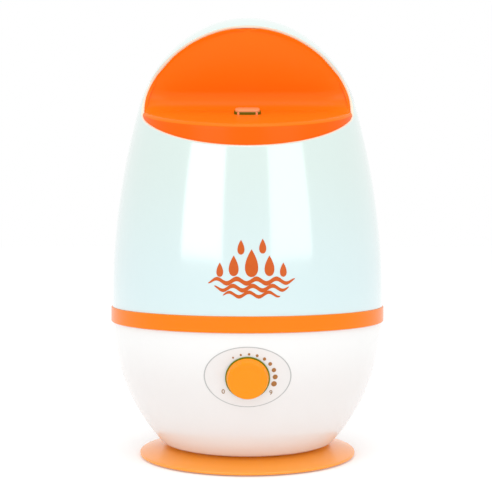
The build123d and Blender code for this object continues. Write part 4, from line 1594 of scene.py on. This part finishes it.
@dataclass
class Emblem:
    """A plain printed motif on the tank's front: drops over waves."""

    form: TurnedForm
    centre_x: float = 3.0 * MM
    centre_z: float = 163.0 * MM
    width: float = 66.0 * MM
    film: float = 0.1 * MM
    sunk: float = 0.3 * MM

    def build(self) -> bpy.types.Object:
        """Build the waves and the drops as one thin print.

        Returns:
            The piece, riding on its body.
        """
        points: list[Vector] = []
        faces: list[tuple[int, ...]] = []
        waves = [(-9.5, 1.0, 3.6, 0.0), (-14.8, 0.86, 3.3, 1.2), (-19.6, 0.66, 2.8, 2.4)]
        for height, share, weight, phase in waves:
            self._add(points, faces, self._wave(height * MM, share, weight * MM, phase))
        drops = [
            (0, 4, 10.5), (-13.5, 2, 7.8), (13.5, 2, 7.8), (-8, 16, 5.6),
            (8.4, 16.8, 5.6), (-24, -1, 5.4), (24, -1, 5.4),
        ]
        for x, z, size in drops:
            self._add(points, faces, self._drop(x * MM, z * MM, size * MM))
        piece = make_piece("tank_emblem", points, faces, [EMBLEM_INK.build()])
        return settle(piece, Body.TANK, "orange_plastic")

    def _on_tank(self, x: float, z: float, lift: float) -> Vector:
        """A point of the motif laid on the tank's front and raised by lift."""
        start = Vector((self.centre_x + x, 0.0, self.centre_z + z))
        return self.form.meet(start, Vector((0.0, -1.0, 0.0)), -lift)

    def _wave(self, height: float, share: float, weight: float, phase: float) -> list[list[Point2]]:
        """Rows of points along a wavy stripe that thins out at both ends.

        Args:
            height: The stripe's height over the motif's middle.
            share: Its share of the motif's width.
            weight: How broad it is.
            phase: Where along the wave it starts.

        Returns:
            The rows.
        """
        rows = []
        count = 120
        for k in range(count + 1):
            along = 2 * k / count - 1
            x = along * share * self.width / 2
            middle = height + 1.7 * MM * math.sin(phase + along * share * 4.4 * math.pi)
            half = 0.5 * weight * math.sqrt(max(1 - along**4, 0.0))
            rows.append([(x, middle + half * side) for side in (-1.0, -0.5, 0.0, 0.5, 1.0)])
        return rows

    def _drop(self, x: float, z: float, size: float) -> list[list[Point2]]:
        """Rows of points across a drop, round below and pointed above.

        Args:
            x: The drop's middle.
            z: The drop's middle height.
            size: Half its height.

        Returns:
            The rows.
        """
        rows = []
        count = 28
        for k in range(count + 1):
            turn = math.pi * k / count
            half = 0.62 * size * math.sin(turn) * math.sin(turn / 2)
            level = z + size * math.cos(turn)
            rows.append([(x + half * side, level) for side in (-1.0, -0.6, 0.0, 0.6, 1.0)])
        return rows

    def _add(
        self,
        points: list[Vector],
        faces: list[tuple[int, ...]],
        rows: list[list[Point2]],
    ) -> None:
        """Add one printed shape with a top face and thin sides.

        Args:
            points: The print's points so far.
            faces: The print's faces so far.
            rows: The shape's rows.
        """
        base = len(points)
        width = len(rows[0])
        for row in rows:
            (left, left_z), (right, right_z) = row[0], row[-1]
            points.append(self._on_tank(left, left_z, -self.sunk))
            points += [self._on_tank(x, z, self.film) for x, z in row]
            points.append(self._on_tank(right, right_z, -self.sunk))
        quads = grid_faces(len(rows), width + 2, wrap=False)
        faces += [tuple(base + n for n in face) for face in quads]


# ---------------------------------------------------------------------------
# Studio
# ---------------------------------------------------------------------------
@dataclass
class Studio:
    """A pale floor, soft light and the camera."""

    eye: Vector = field(default_factory=lambda: Vector((-1.2 * MM, -975 * MM, 204 * MM)))
    pitch: float = math.radians(88.4)
    lens: float = 83.85
    panel_turns: Point2 = (math.radians(-37.5), math.radians(36.0))
    panel_glows: Point2 = (3.0, 2.1)
    panel_distance: float = 1.5
    panel_size: Point2 = (0.94, 0.92)
    panel_z: float = 0.75
    top_glow: float = 1.5
    top_size: float = 1.6
    top_place: tuple[float, float, float] = (0.0, -0.9, 1.9)
    top_aim_z: float = 0.2
    floor_half: float = 6.0
    floor_glow: float = 0.16
    sky: float = 1.0

    def build(self) -> None:
        """Set up the camera, floor, panels and sky."""
        self._camera()
        self._floor()
        away = self.panel_distance
        for name, turn, glow in zip(("left", "right"), self.panel_turns, self.panel_glows):
            place = Vector((away * math.sin(turn), -away * math.cos(turn), self.panel_z))
            panel = self._panel(name, place, self.panel_z, self.panel_size, glow)
            panel.visible_diffuse = False
        top_size = (self.top_size, self.top_size)
        self._panel("top", Vector(self.top_place), self.top_aim_z, top_size, self.top_glow)
        self._sky()
        bpy.context.scene.view_settings.view_transform = "Standard"
        LOG.info("studio is set")

    def _camera(self) -> None:
        """Place the camera a little above the middle, looking slightly down."""
        data = bpy.data.cameras.new("camera")
        data.lens = self.lens
        camera = bpy.data.objects.new("camera", data)
        camera.location = self.eye
        camera.rotation_euler = (self.pitch, 0.0, 0.0)
        bpy.context.scene.collection.objects.link(camera)
        bpy.context.scene.camera = camera

    def _floor(self) -> None:
        """A wide white floor."""
        sheet, shader = fresh_material("floor_white")
        tone = sheet.blend(sheet.noise(6.0, 2.0), (0.84, 0.84, 0.84, 1.0), (0.86, 0.86, 0.86, 1.0))
        sheet.join(tone, shader.inputs["Base Color"])
        shader.inputs["Roughness"].default_value = 0.9
        shader.inputs["Specular IOR Level"].default_value = 0.0
        shader.inputs["Emission Color"].default_value = (1.0, 1.0, 1.0, 1.0)
        shader.inputs["Emission Strength"].default_value = self.floor_glow
        half = self.floor_half
        corners = [(-half, -half, 0.0), (half, -half, 0.0), (half, half, 0.0), (-half, half, 0.0)]
        floor = make_piece("floor", corners, [(0, 1, 2, 3)], [sheet.material])

    def _panel(
        self,
        name: str,
        place: Vector,
        aim_z: float,
        size: Point2,
        glow: float,
    ) -> bpy.types.Object:
        """A soft light panel that faces the object.

        Args:
            name: What the panel is called.
            place: Where it hangs.
            aim_z: The height on the object's axis that it faces.
            size: Its width and height.
            glow: Its brightness.

        Returns:
            The panel.
        """
        light = bpy.data.lights.new(f"panel_{name}", "AREA")
        light.shape = "RECTANGLE"
        light.size, light.size_y = size
        light.energy = glow * math.pi * size[0] * size[1]
        panel = bpy.data.objects.new(light.name, light)
        panel.location = place
        aim = Vector((0.0, 0.0, aim_z)) - place
        panel.rotation_euler = aim.to_track_quat("-Z", "Y").to_euler()
        bpy.context.scene.collection.objects.link(panel)
        return panel

    def _sky(self) -> None:
        """An even white sky."""
        world = bpy.data.worlds.new("sky")
        world.use_nodes = True
        bpy.context.scene.world = world
        background = world.node_tree.nodes["Background"]
        background.inputs["Color"].default_value = (1.0, 1.0, 1.0, 1.0)
        background.inputs["Strength"].default_value = self.sky


def dress_inner_nodes() -> None:
    """Give every plain solid the finish of its material slot."""
    built: dict[str, bpy.types.Material] = {}
    for part in frame["record"]["subparts"]:
        slot = part["material_slot"]
        if slot not in built:
            built[slot] = INNER_FINISHES[slot].build()
        node = frame["nodes"][part["node"]]
        if not node.material_slots:
            node.data.materials.append(built[slot])
        for holder in node.material_slots:
            holder.material = built[slot]
    LOG.info("dressed %d plain solids in %d finishes", len(frame["nodes"]), len(built))


def joint(name: str) -> dict:
    """A joint of the frame by its name."""
    return next(j for j in frame["joints"] if j["name"] == name)


def main() -> None:
    """Build the whole object and its studio."""
    logging.basicConfig(level=logging.INFO, format="%(name)s: %(message)s")
    dress_inner_nodes()
    egg, bowl = egg_form(), bowl_form()
    mouth = mouth_scoop()
    tank = WaterTank(egg, mouth)
    tank.build()
    tank.build_highlight_lip()
    MistHood(egg, mouth, hood_scoop()).build()
    turret = joint("nozzle_turn")
    MistNozzle(Vector(turret["pos_m"]), Vector(turret["axis"]).normalized()).build()
    Emblem(egg).build()
    band_low, band_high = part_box("waist_band")
    WaistBand(band_high.x, band_low.z, band_high.z).build()
    BaseBowl(bowl, band_low.z).build()
    plate_low, plate_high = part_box("foot_plate")
    FootPlate(plate_high.x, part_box("lower_housing")[0].z, plate_low.z).build()
    turn = joint("knob_turn")
    pivot, out = Vector(turn["pos_m"]), Vector(turn["axis"]).normalized()
    MistDial(bowl, pivot, out).build()
    MistKnob(pivot, out).build()
    Studio().build()


if __name__ == "__main__":
    main()
